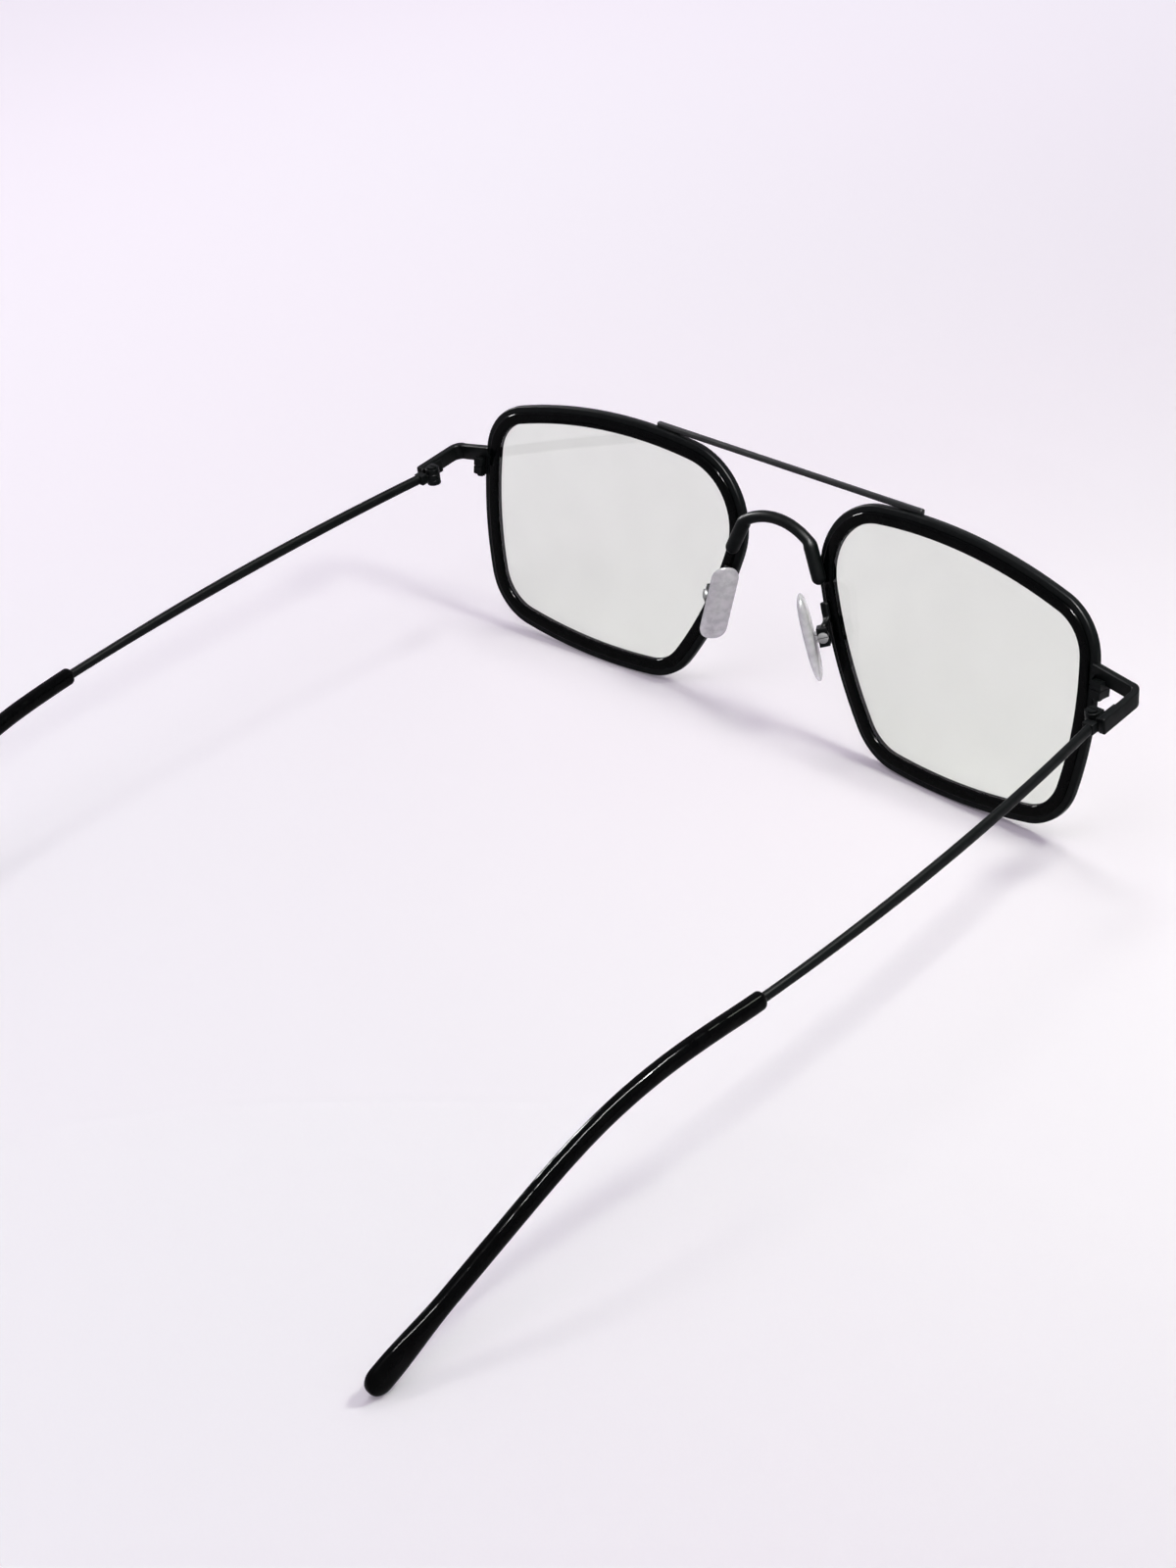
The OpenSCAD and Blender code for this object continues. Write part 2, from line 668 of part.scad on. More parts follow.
wire_path = [for (i = 0, p = wire_start; i <= wire_steps;
    p = p + wire_run / wire_steps * heading_vector(wire_heading((i + 0.5) / wire_steps), 0), i = i + 1) p];
tip_start = wire_path[wire_steps];
function tip_step(s) = tip_length / tip_steps * heading_vector(tip_heading(s), tip_drop(s));
tip_path = [for (i = 0, p = tip_start; i <= tip_steps;
    p = p + tip_step((i + 0.5) / tip_steps), i = i + 1) p];

// One closed ring of points round a place on the path, a rounded flat section
function squash(v, e) = (v < 0 ? -1 : 1) * pow(abs(v), e);
function section_ring(p, h, d, height, thickness, roundness) = let (
    side = [cos(h), sin(h), 0],
    top = [-sin(h) * sin(d), cos(h) * sin(d), cos(d)]
) [for (k = [0:section_points - 1]) let (a = 360 * k / section_points)
    p + thickness / 2 * squash(cos(a), roundness) * side + height / 2 * squash(sin(a), roundness) * top];

// Solid through a list of rings, both ends closed
module skin(rings) {
    n = len(rings[0]);
    last = len(rings) - 1;
    points = [for (r = rings) each r];
    sides = [for (j = [0:last - 1]) for (k = [0:n - 1])
        [j * n + k, j * n + (k + 1) % n, (j + 1) * n + (k + 1) % n, (j + 1) * n + k]];
    polyhedron(points = points, faces = concat([[for (k = [n - 1:-1:0]) k]], sides,
        [[for (k = [0:n - 1]) last * n + k]]), convexity = 6);
}

oval = 0.85;
function wire_height_at(t) = t < 0.5 ? mix(wire_height_front, wire_height_mid, smooth(2 * t))
    : mix(wire_height_mid, wire_height_back, smooth(2 * t - 1));

core_share = core_length / tip_length;
function core_rings(extra) = [for (i = [0:core_steps]) let (
    s = core_share * i / core_steps,
    j = s * tip_steps,
    a = tip_path[floor(j)],
    b = tip_path[min(tip_steps, floor(j) + 1)],
    taper = i == core_steps ? 0.7 : 1,
    size = taper * core_diameter + 2 * extra
) section_ring(mix(a, b, j - floor(j)), tip_heading(s), tip_drop(s), size, size, 1)];

module temple_wire() {
    wire_rings = [for (i = [0:wire_steps]) let (t = i / wire_steps)
        section_ring(wire_path[i], i > 0 ? wire_heading(t) : 0, 0, wire_height_at(t), wire_thickness, oval)];
    at_pin()
        union() {
            skin(wire_rings);
            skin(core_rings(0));
        }
}

// Stations of the tip's outside: along it, height and thickness
mouth_share = 0.012;
paddle_share = paddle_length / tip_length;
end_share = paddle_height / 2 / tip_length;
function tip_height_at(s) = mix(tip_height, paddle_height,
    smooth((s - 1 + paddle_share) / (paddle_share - 1.5 * end_share)));
function end_round(s) = s < 1 - end_share ? 1
    : sqrt(max(0.02, 1 - pow((s - 1 + end_share) / end_share, 2)));
tip_stations = concat([0, mouth_share, 2 * mouth_share],
    [for (i = [2:tip_steps - 2]) i / tip_steps],
    [for (a = [0:15:75]) 1 - end_share + end_share * sin(a)], [1]);
function tip_point(s) = let (
    j = s * tip_steps,
    i = min(tip_steps - 1, floor(j))
) mix(tip_path[i], tip_path[i + 1], j - i);
function mouth(s) = s < mouth_share / 2 ? 0.84 : s < 1.5 * mouth_share ? 0.97 : 1;
tip_rings = [for (s = tip_stations) let (
    height = tip_height_at(s) * end_round(s) * mouth(s),
    thickness = tip_thickness * mix(0.45, 1, end_round(s)) * mouth(s)
) section_ring(tip_point(s), tip_heading(s), tip_drop(s), height, thickness, oval)];

// The skin runs from the bottom of the core wire's bore out to the mouth and on over the outside
bore_rings = core_rings(core_clearance);
module temple_tip() {
    at_pin()
        skin(concat([for (i = [core_steps:-1:0]) bore_rings[i]], tip_rings));
}

// The pad's frame: Y down along the pad, X along the screw towards the eye, Z out of its face to the nose
pad_down = unit([tan(pad_flare_deg), -tan(pad_rake_deg), -1]);
pad_axis = unit(cross(pad_down, [-cos(pad_splay_deg), sin(pad_splay_deg), 0]));
pad_face = cross(pad_axis, pad_down);
pad_centre = [pad_x, pad_y, pad_z];

module at_pad() {
    multmatrix([[pad_axis[0], pad_down[0], pad_face[0], pad_centre[0]],
        [pad_axis[1], pad_down[1], pad_face[1], pad_centre[1]],
        [pad_axis[2], pad_down[2], pad_face[2], pad_centre[2]],
        [0, 0, 0, 1]])
        children();
}

module pad_half_section() {
    r = pad_thickness / 2;
    translate([0, -r])
        square([pad_width / 2 - r, 2 * r]);
    intersection() {
        translate([pad_width / 2 - r, 0]) circle(r = r, $fn = round_detail);
        translate([0, -r]) square([pad_width, 2 * r]);
    }
}

module pad_body() {
    run = pad_length - pad_width;
    for (s = [0, 1])
        translate([0, (s - 0.5) * run, 0])
            rotate(180 + 180 * s)
                rotate_extrude(angle = 180, $fn = arc_detail)
                    pad_half_section();
    for (s = [0, 1])
        mirror([s, 0, 0])
            translate([0, run / 2, 0])
                rotate([90, 0, 0])
                    linear_extrude(run)
                        pad_half_section();
}

module core_plate() {
    translate([-core_plate_width / 2, -core_plate_length / 2, -core_plate_thickness / 2])
        cube([core_plate_width, core_plate_length, core_plate_thickness]);
    translate([box_shift - lug_thickness / 2, -lug_height / 2, -box_offset])
        cube([lug_thickness, lug_height, box_offset]);
    translate([box_shift - lug_thickness / 2, 0, -box_offset])
        rotate([0, 90, 0])
            cylinder(r = lug_height / 2, h = lug_thickness, $fn = round_detail);
}

module nose_pad() {
    at_pad()
        difference() {
            pad_body();
            core_plate();
        }
}

module pad_core() {
    at_pad()
        difference() {
            core_plate();
            translate([box_shift - box_length, 0, -box_offset])
                rotate([0, 90, 0])
                    cylinder(r = pad_screw_radius + pin_clearance, h = 2 * box_length, $fn = round_detail);
        }
}

lug_slot = lug_thickness / 2 + lug_clearance;
slot_half = lug_height / 2 + 4 * lug_clearance;

module pad_box() {
    at_pad()
        difference() {
            translate([box_shift - box_length / 2, -box_height / 2, -box_offset - box_width / 2])
                cube([box_length, box_height, box_width]);
            translate([box_shift - lug_slot, -slot_half, -box_offset - lug_height / 2 - lug_clearance])
                cube([2 * lug_slot, 2 * slot_half, box_offset + lug_height]);
            translate([box_shift - box_length, 0, -box_offset])
                rotate([0, 90, 0])
                    cylinder(r = pad_screw_radius + screw_clearance, h = 2 * box_length, $fn = round_detail);
        }
}

module pad_screw() {
    at_pad()
        translate([box_shift - box_length / 2, 0, -box_offset])
            rotate([0, 90, 0])
                slotted_screw(pad_screw_radius, box_length, pad_head_radius, pad_head_height);
}

// Place on the back of the rim's inner side at a given height, and the rim's slope there
function rim_back(v) = let (
    reach = inner_side_radius + rim_width / 2,
    m = side_middle[1],
    u = m[0] - sqrt(reach * reach - (v - m[1]) * (v - m[1])),
    x = lens_spread + u * cos(wrap_deg) - insert_depth * sin(wrap_deg)
) [x, u * sin(wrap_deg) + insert_depth * cos(wrap_deg), v];
foot_top = rim_back(foot_top_z);
foot_bottom = rim_back(foot_top_z - foot_length);
arm_top = foot_bottom + [-foot_width / 4, arm_radius, foot_width / 2];
arm_rise = box_height / 2 - arm_radius;
arm_end = pad_centre + box_shift * pad_axis - arm_rise * pad_down - box_offset * pad_face;

// Round rod between two points with round ends
module rod(a, b, radius) {
    v = b - a;
    translate(a) sphere(r = radius, $fn = round_detail);
    translate(b) sphere(r = radius, $fn = round_detail);
    translate(a)
        rotate([0, acos(v[2] / norm(v)), atan2(v[1], v[0])])
            cylinder(r = radius, h = norm(v), $fn = round_detail);
}

module pad_arm() {
    slope = foot_bottom - foot_top;
    difference() {
        union() {
            translate(foot_top)
                rotate([0, -atan2(slope[0], -slope[2]), 0])
                    translate([-foot_width * 0.75, -insert_chamfer, -foot_length])
                        cube([foot_width, foot_thickness + insert_chamfer, foot_length]);
            rod(arm_top, arm_end, arm_radius);
        }
        rim_nose_side();
        at_pad()
            translate([box_shift - box_length / 2, -box_height / 2, -box_offset - box_width / 2])
                cube([box_length, box_height, box_width]);
    }
}

// Lean at which the lowest place of each rim and of each tip reach the ground together
function rim_low(a) = min([for (q = rim_points)
    (q[0] * sin(wrap_deg) - q[2] * cos(wrap_deg)) * sin(a) + q[1] * cos(a)]);
tip_points = [for (r = tip_rings) each [for (q = r) from_pin(q)]];
function tip_low(a) = min([for (q = tip_points) q[1] * sin(a) + q[2] * cos(a)]);
function lean_gap(a) = tip_low(a) - rim_low(a);
function secant(a, b) = b - lean_gap(b) * (b - a) / (lean_gap(b) - lean_gap(a));
lean_first = secant(9, 11);
lean_deg = secant(lean_first, lean_first + 0.3);
stand_z = -rim_low(lean_deg);
tip_back = max([for (q = tip_points) q[1] * cos(lean_deg) - q[2] * sin(lean_deg)]);
bar_ahead = bar_front_y * cos(lean_deg) - bar_top_z * sin(lean_deg);
stand_y = -(tip_back + bar_ahead) / 2;

metal_colour = [0.13, 0.13, 0.14];
plastic_colour = [0.03, 0.035, 0.04];
screw_colour = [0.72, 0.72, 0.72];
clear_colour = [0.88, 0.9, 0.88, 0.5];

module rim_wire_left() { color(metal_colour) stand() rim_wire(); }
module rim_wire_right() { color(metal_colour) stand() on_side(-1) rim_wire(); }
module rim_insert_left() { color(plastic_colour) stand() rim_insert(); }
module rim_insert_right() { color(plastic_colour) stand() on_side(-1) rim_insert(); }
module lens_left() { color(clear_colour) stand() lens(); }
module lens_right() { color(clear_colour) stand() on_side(-1) lens(); }
module upper_bar() { color(metal_colour) stand() straight_bar(); }
module lower_bridge() { color(metal_colour) stand() arched_bridge(); }
module end_piece_left() { color(metal_colour) stand() end_piece(); }
module end_piece_right() { color(metal_colour) stand() on_side(-1) end_piece(); }
module lock_upper_left() { color(metal_colour) stand() lock_upper(); }
module lock_upper_right() { color(metal_colour) stand() on_side(-1) lock_upper(); }
module lock_lower_left() { color(metal_colour) stand() lock_lower(); }
module lock_lower_right() { color(metal_colour) stand() on_side(-1) lock_lower(); }
module lock_screw_left() { color(screw_colour) stand() lock_screw(); }
module lock_screw_right() { color(screw_colour) stand() on_side(-1) lock_screw(); }
module hinge_front_left() { color(metal_colour) stand() hinge_front(); }
module hinge_front_right() { color(metal_colour) stand() on_side(-1) hinge_front(); }
module hinge_temple_left() { color(metal_colour) stand() hinge_temple(); }
module hinge_temple_right() { color(metal_colour) stand() on_side(-1) hinge_temple(); }
module hinge_screw_left() { color(screw_colour) stand() hinge_screw(); }
module hinge_screw_right() { color(screw_colour) stand() on_side(-1) hinge_screw(); }
module temple_wire_left() { color(metal_colour) stand() temple_wire(); }
module temple_wire_right() { color(metal_colour) stand() on_side(-1) temple_wire(); }
module temple_tip_left() { color(plastic_colour) stand() temple_tip(); }
module temple_tip_right() { color(plastic_colour) stand() on_side(-1) temple_tip(); }
module pad_arm_left() { color(metal_colour) stand() pad_arm(); }
module pad_arm_right() { color(metal_colour) stand() on_side(-1) pad_arm(); }
module pad_box_left() { color(metal_colour) stand() pad_box(); }
module pad_box_right() { color(metal_colour) stand() on_side(-1) pad_box(); }
module pad_screw_left() { color(screw_colour) stand() pad_screw(); }
module pad_screw_right() { color(screw_colour) stand() on_side(-1) pad_screw(); }
module nose_pad_left() { color(clear_colour) stand() nose_pad(); }
module nose_pad_right() { color(clear_colour) stand() on_side(-1) nose_pad(); }
module pad_core_left() { color(clear_colour) stand() pad_core(); }
module pad_core_right() { color(clear_colour) stand() on_side(-1) pad_core(); }

rim_wire_left();
rim_wire_right();
rim_insert_left();
rim_insert_right();
lens_left();
lens_right();
upper_bar();
lower_bridge();
end_piece_left();
end_piece_right();
lock_upper_left();
lock_upper_right();
lock_lower_left();
lock_lower_right();
lock_screw_left();
lock_screw_right();
hinge_front_left();
hinge_front_right();
hinge_temple_left();
hinge_temple_right();
hinge_screw_left();
hinge_screw_right();
temple_wire_left();
temple_wire_right();
temple_tip_left();
temple_tip_right();
pad_arm_left();
pad_arm_right();
pad_box_left();
pad_box_right();
pad_screw_left();
pad_screw_right();
nose_pad_left();
nose_pad_right();
pad_core_left();
pad_core_right();
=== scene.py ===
"""Square metal and plastic eyeglasses: rims, bridges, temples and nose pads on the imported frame."""

import json
import math

import bmesh
import bpy
from bpy.props import FloatProperty, FloatVectorProperty, PointerProperty
from bpy.types import Operator, Panel, PropertyGroup
from mathutils import Matrix, Vector


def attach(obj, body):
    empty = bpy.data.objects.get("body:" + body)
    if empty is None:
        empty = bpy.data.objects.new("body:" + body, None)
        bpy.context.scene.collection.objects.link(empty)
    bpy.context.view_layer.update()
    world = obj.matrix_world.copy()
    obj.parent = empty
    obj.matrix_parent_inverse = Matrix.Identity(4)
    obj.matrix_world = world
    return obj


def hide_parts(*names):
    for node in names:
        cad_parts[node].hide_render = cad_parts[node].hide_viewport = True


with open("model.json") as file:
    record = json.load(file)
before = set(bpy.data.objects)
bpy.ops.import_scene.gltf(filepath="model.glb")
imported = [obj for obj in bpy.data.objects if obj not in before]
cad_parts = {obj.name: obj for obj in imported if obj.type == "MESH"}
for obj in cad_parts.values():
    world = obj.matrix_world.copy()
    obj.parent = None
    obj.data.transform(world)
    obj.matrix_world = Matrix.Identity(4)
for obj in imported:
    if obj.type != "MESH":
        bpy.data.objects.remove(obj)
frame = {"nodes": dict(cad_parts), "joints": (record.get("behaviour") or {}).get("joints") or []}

bl_info = {
    "name": "Square eyeglasses",
    "version": (1, 0, 0),
    "blender": (4, 5, 0),
    "location": "3D View > Sidebar > Eyeglasses",
    "description": "Dresses the packed square eyeglasses and sets up a pale studio for them",
    "category": "Object",
}

SIDES = ("left", "right")


# Sizes and colours


def metres(label, default, note, **how):
    """Setting for a length, or for a row of lengths that belong together."""
    if isinstance(default, tuple):
        return FloatVectorProperty(name=label, default=default, size=len(default), unit="LENGTH",
                                   precision=5, description=note, **how)
    return FloatProperty(name=label, default=default, unit="LENGTH", precision=5,
                         description=note, **how)


def degrees(label, default, note):
    """Setting for an angle, written in degrees."""
    return FloatProperty(name=label, default=math.radians(default), subtype="ANGLE",
                         description=note)


def tint(label, default, note):
    """Setting for a colour."""
    return FloatVectorProperty(name=label, default=default, size=3, min=0, max=1, subtype="COLOR",
                               description=note)


def level(label, default, note, **how):
    """Setting for a strength, a share or a power."""
    return FloatProperty(name=label, default=default, min=0, description=note, **how)


class OpeningSizes(PropertyGroup):
    corner_across: metres(
        "Corners across", (0.01784, -0.01444, -0.00846, 0.0155),
        "Sideways place of each corner circle from the lens centre, upper outer one first")
    corner_up: metres(
        "Corners up", (0.00878, 0.00793, -0.01053, -0.00981),
        "Height of each corner circle above the lens centre")
    corner_radius: metres(
        "Corner radii", (0.0066, 0.01007, 0.00775, 0.0074),
        "Radius of each corner of the lens opening")
    side_radius: metres(
        "Side radii", (0.085, 0.0693, 0.0907, 0.0657),
        "Radius of each bowed side, top one first, then the one next to the nose")
    lens_spread: metres(
        "Lens centre", 0.03517, "Distance of each lens centre from the middle of the front")
    wrap: degrees("Wrap", 3.3, "Angle each rim is turned back round its upright line")


class RimSizes(PropertyGroup):
    ring_width: metres("Plastic width", 0.00185, "Width of the plastic ring across its face")
    ring_depth: metres("Plastic depth", 0.0022, "Front to back depth of the plastic ring")
    ring_round: metres("Plastic rounding", 0.00052, "Radius of the plastic ring's inner long edges")
    ring_outer_round: metres(
        "Plastic outer rounding", 0.00036,
        "Radius of the plastic ring's edges next to the metal wire")
    wire_width: metres("Wire width", 0.00125, "Width of the metal rim wire across its face")
    wire_depth: metres("Wire depth", 0.0014, "Front to back depth of the metal rim wire")
    wire_seat: metres(
        "Wire seat", 0.0002, "Depth of the wire sunk into the outside of the plastic ring")
    wire_round: metres("Wire rounding", 0.00034, "Radius of the wire's outer edges")
    seat_round: metres(
        "Seat rounding", 0.00006, "Radius of the ring's edges where the wire sinks into it")
    lens_thickness: metres("Groove height", 0.00144, "Front to back size of the lens groove")
    lens_seat: metres("Lens seat", 0.00058, "Depth of the lens edge in the groove of the ring")
    lens_fit: metres("Lens fit", 0.00002, "Room between the lens and the groove on each face")
    lens_bevel: metres("Lens bevel", 0.00015, "Bevel ground on the two edges of the lens")
    groove: metres("Groove depth", 0.0005, "Depth of the lens groove in the plastic ring")
    saw_cut: metres("Saw cut", 0.00014, "Width of the cut that lets the wire open for the lens")


class BridgeSizes(PropertyGroup):
    bar_half: metres("Bar half length", 0.0269, "Half length of the straight upper bar")
    bar_rise: metres("Bar rise", 0.00065, "Height of the bar's top above the rims' top")
    bar_section: metres("Bar section", 0.00095, "Height and depth of the upper bar")
    bar_front: metres(
        "Bar front", -0.00035, "Front face of the bar, behind the front of the lens centres")
    bar_round: metres("Bar rounding", 0.00028, "Radius of the bar's long edges")
    bar_taper: level(
        "Bar taper", 0.24, "Share by which the rounded ends of the bar are thinner", max=1)
    rod_radius: metres("Lower bridge radius", 0.00095, "Radius of the lower bridge's rod")
    crest: metres("Crest height", 0.0135, "Height of the crest of the lower bridge's centre line")
    foot_radius: metres("Foot radius", 0.00115, "Radius of the two feet of the lower bridge")
    foot_inset: metres(
        "Foot inset", 0.00079, "Start of each foot, inward of the rim's edge next to the nose")
    arch: degrees("Arch", 31, "Half angle of the arch of the lower bridge")
    bend_radius: metres("Bend radius", 0.0022, "Radius of the bend from the arch into each foot")
    foot_angle: degrees("Foot angle", 66.5, "Angle of the feet below the level")
    foot_length: metres("Foot length", 0.0049, "Length of the straight part of each foot")
    rod_behind: metres(
        "Rod behind", 0.00155, "Distance of the lower bridge's centre line behind the front")


class HingeSizes(PropertyGroup):
    pin_behind: metres("Pin behind", 0.0106, "Hinge pin centre, behind the front")
    pin_up: metres("Pin height", 0.0045, "Hinge pin centre, above the lens centres")
    temple_drop: degrees("Temple drop", 12.1, "Angle of the temples below the square to the front")
    strip_thickness: metres("Strip thickness", 0.00115, "Thickness of the bent end piece strip")
    strip_height: metres("Strip height", 0.0026, "Height of the bent end piece strip")
    strip_slope: degrees(
        "Strip slope", 12, "Slope of the end piece from the rim down to its corner")
    corner_rise: metres(
        "Corner rise", 0.0005, "Height of the end piece's corner above its rear end")
    strip_round: metres("Strip rounding", 0.00024, "Radius of the strip's long edges")
    strip_corner: metres("Strip corner", 0.0023, "Outer radius of the bent corner of the strip")
    strip_reach: metres(
        "Strip reach", 0.0089, "Distance of the strip's front face ahead of the hinge pin")
    strip_inner: metres(
        "Strip inner side", 0.00161, "Distance of the strip's inner face outside the hinge pin")
    strip_tail: metres("Strip tail", 0.001, "Distance of the strip's rear end behind the hinge pin")
    strip_inset: metres(
        "Strip inset", 0.0009, "How far the end piece reaches in over the rim's outer edge")
    lock_rise: metres("Lock rise", 0.0012, "Height of the rim lock's middle above the hinge pin")
    edge_round: metres("Small edges", 0.00012, "Rounding of the edges of locks, knuckles and boxes")


class TempleSizes(PropertyGroup):
    wire_length: metres(
        "Wire length", 0.0762, "Distance from the hinge pin to the start of the plastic tip")
    wire_begin: metres("Wire begin", 0.00255, "Start of the visible wire behind the hinge pin")
    wire_offset: metres(
        "Wire offset", 0.0008, "Start of the wire's centre line outside the hinge pin")
    wire_out: degrees("Wire outward", 6.7, "Outward heading of the wire at the hinge")
    wire_in: degrees("Wire inward", 3.0, "Inward heading of the wire at the tip")
    wire_heights: metres(
        "Wire heights", (0.0017, 0.00185, 0.00145),
        "Height of the wire's section at the hinge, at its middle and at the tip")
    wire_thickness: metres("Wire thickness", 0.0012, "Thickness of the wire's section")
    tip_length: metres("Tip length", 0.0725, "Length of the plastic tip")
    tip_height: metres("Tip height", 0.00275, "Height of the plastic tip's section")
    tip_thickness: metres("Tip thickness", 0.00225, "Thickness of the plastic tip's section")
    paddle_height: metres("Paddle height", 0.0045, "Height of the paddle at the end of the tip")
    paddle_length: metres(
        "Paddle length", 0.015, "Length over which the tip widens into the paddle")
    ear_bend: degrees("Ear bend", 25.4, "Downward bend of the tip behind the ear")
    bend_span: FloatVectorProperty(
        name="Bend span", size=2, default=(0.06, 0.6), min=0, max=1,
        description="Start and end of the ear bend as shares of the tip's length")
    tip_in: FloatVectorProperty(
        name="Tip inward", size=2, precision=4, default=(0.09076, 0.11694),
        description="Inward heading of the tip at the bend and past it, in radians")
    bore: metres(
        "Mouth bore", 0.00116, "Diameter of the hole in the tip that the wire's core goes into")
    mouth_round: metres("Mouth rounding", 0.0007, "Length of the rounded lip round the mouth")


class PadSizes(PropertyGroup):
    length: metres("Pad length", 0.0144, "Length of the clear nose pad")
    width: metres("Pad width", 0.0044, "Width of the clear nose pad")
    thickness: metres("Pad thickness", 0.002, "Thickness of the clear nose pad at its middle")
    inset: metres("Pad inset", 0.00174, "Pad centre, outward of the rim's edge next to the nose")
    behind: metres("Pad behind", 0.00345, "Pad centre, behind the front")
    up: metres("Pad height", -0.00295, "Pad centre, above the lens centres")
    splay: degrees("Splay", 35, "Angle of the pad's face round the upright line")
    flare: degrees("Flare", 16.7, "Outward slope of the pad from top to bottom")
    rake: degrees("Rake", 6.7, "Forward slope of the pad from top to bottom")
    screw_behind: metres("Screw behind", 0.0022, "Distance from the pad's centre back to its screw")
    box_shift: metres("Box shift", 0.0006, "Shift of the box towards the eye along its screw")
    box_height: metres("Box height", 0.0031, "Height of the box that holds the pad")
    foot_top: metres("Foot top", 0.0025, "Height on the rim of the top of the arm's foot")
    foot_length: metres("Arm foot length", 0.0034, "Length of the arm's foot along the rim")
    foot_width: metres("Arm foot width", 0.0015, "Width of the arm's foot across the rim")
    arm_radius: metres("Arm radius", 0.0005, "Radius of the arm's rod")
    curl_behind: metres("Curl behind", 0.0006, "Distance of the arm's curl behind its straight way")
    curl_up: metres(
        "Curl height", (0.0004, 0.0003), "Rise of the curl over its foot and halfway to the box")


class Finishes(PropertyGroup):
    paint: tint("Satin paint", (0.0022, 0.0032, 0.0032), "Colour of the painted metal")
    paint_worn: tint(
        "Rubbed paint", (0.0075, 0.0095, 0.0095),
        "Colour of the paint where fingers have rubbed it")
    plastic: tint("Black plastic", (0.0005, 0.0008, 0.0008), "Colour of the plastic rings")
    tip_plastic: tint("Tip plastic", (0.0006, 0.0008, 0.0008), "Colour of the plastic temple tips")
    lens: tint(
        "Lens tint", (0.825, 0.866, 0.797),
        "Colour that the lenses give to what is seen through them")
    pad: tint("Clear pad", (0.97, 0.95, 0.98), "Colour of the soft clear nose pads")
    core: tint("Pad core", (0.80, 0.81, 0.80), "Colour of the hard core inside each pad")
    steel: tint("Screw steel", (0.14, 0.14, 0.14), "Colour of the bare steel screws")
    paint_sheen: level("Paint sheen", 0.045, "Specular level of the painted metal", max=1)
    bar_sheen: level("Bar sheen", 0.19, "Specular level of the upper bar's paint", max=1)
    plastic_sheen: level("Plastic sheen", 0.03, "Specular level of the black plastic", max=1)


class StageSettings(PropertyGroup):
    floor: tint("Floor colour", (0.90, 0.87, 0.92), "Colour of the pale floor")
    pale: tint(
        "Pale ground", (0.97, 0.92, 1.0), "Colour that evens the ground out far from the main lamp")
    pale_from: metres("Pale from", 0.05, "Distance at which the evening out starts")
    pale_to: metres("Pale to", 0.50, "Distance at which it is at its strongest")
    pale_near: level("Pale near", 0.0, "Strength near the main lamp", max=1)
    pale_far: level("Pale far", 0.41, "Strength far from the main lamp", max=1)
    sky: tint("Room light", (0.93, 0.88, 1.0), "Colour of the light from all round")
    sky_level: level("Room level", 0.385, "Strength of the light from all round")
    sky_seen: level("Room seen", 0.95, "Strength at which the eye, mirrors and glass see the room")
    key_place: metres(
        "Key place", (-0.163, -0.114, 0.244), "Place of the small main lamp", subtype="XYZ")
    key_aim: metres("Key aim", 0.01, "Height over the ground that the main lamp is turned to")
    key_size: metres("Key size", 0.055, "Width of the main lamp")
    key_power: level("Key power", 0.39, "Power of the main lamp", unit="POWER")
    key_light: tint("Key light", (0.93, 1.0, 0.86), "Colour of the main lamp")
    window_place: metres(
        "Window place", (0.10, -0.225, 0.52), "Place of the lamp in front", subtype="XYZ")
    window_size: metres("Window size", 0.12, "Width of the lamp in front")
    window_power: level("Window power", 0.50, "Power of the lamp in front", unit="POWER")
    window_light: tint("Window light", (0.97, 1.0, 0.94), "Colour of the lamp in front")
    ceiling_place: metres(
        "Ceiling place", (-0.1, 0.35, 0.95), "Place of the wide lamp overhead", subtype="XYZ")
    ceiling_size: metres("Ceiling size", 0.50, "Width of the wide lamp overhead")
    ceiling_power: level("Ceiling power", 1.4, "Power of the wide lamp overhead", unit="POWER")
    ceiling_light: tint("Ceiling light", (1.0, 0.97, 1.0), "Colour of the wide lamp overhead")
    glint_right_place: metres(
        "Right glint place", (-0.150, -0.010, 0.290), "Place of the lamp that puts glints on the "
        "right rim", subtype="XYZ")
    glint_right_size: metres("Right glint size", 0.030, "Width of the right glint lamp")
    glint_right_power: level("Right glint power", 4.5, "Power of that lamp", unit="POWER")
    glint_left_place: metres(
        "Left glint place", (0.480, -0.060, 0.190), "Place of the lamp that puts glints on the "
        "left rim", subtype="XYZ")
    glint_left_size: metres("Left glint size", 0.08, "Width of the left glint lamp")
    glint_left_power: level("Left glint power", 5.0, "Power of that lamp", unit="POWER")
    streak_place: metres(
        "Streak place", (-0.135, 0.062, 0.400), "Place of the strip that draws the streak along "
        "the right tip", subtype="XYZ")
    streak_size: metres("Streak size", (0.018, 0.30), "Width and length of that strip")
    streak_power: level("Streak power", 14.0, "Power of that strip", unit="POWER")
    glint_light: tint("Glint light", (1.0, 1.0, 1.0), "Colour of the glints and the streak")
    floor_reach: metres("Floor reach", 3.0, "Half width of the floor")
    floor_depth: metres("Floor depth", 0.002, "Thickness of the floor")
    focal: FloatProperty(
        name="Lens length", unit="CAMERA", default=76.5, description="Focal length of the camera")
    camera_place: metres(
        "Camera place", (-0.310520, 0.263577, 0.278563), "Place of the camera", subtype="XYZ")
    camera_right: FloatVectorProperty(
        name="Camera right", size=3, subtype="DIRECTION",
        default=(-0.72272545, -0.68537739, -0.08902672),
        description="Direction that lies to the right in the picture")
    camera_up: FloatVectorProperty(
        name="Camera up", size=3, subtype="DIRECTION",
        default=(0.31353226, -0.43992673, 0.84152361),
        description="Direction that lies upward in the picture")


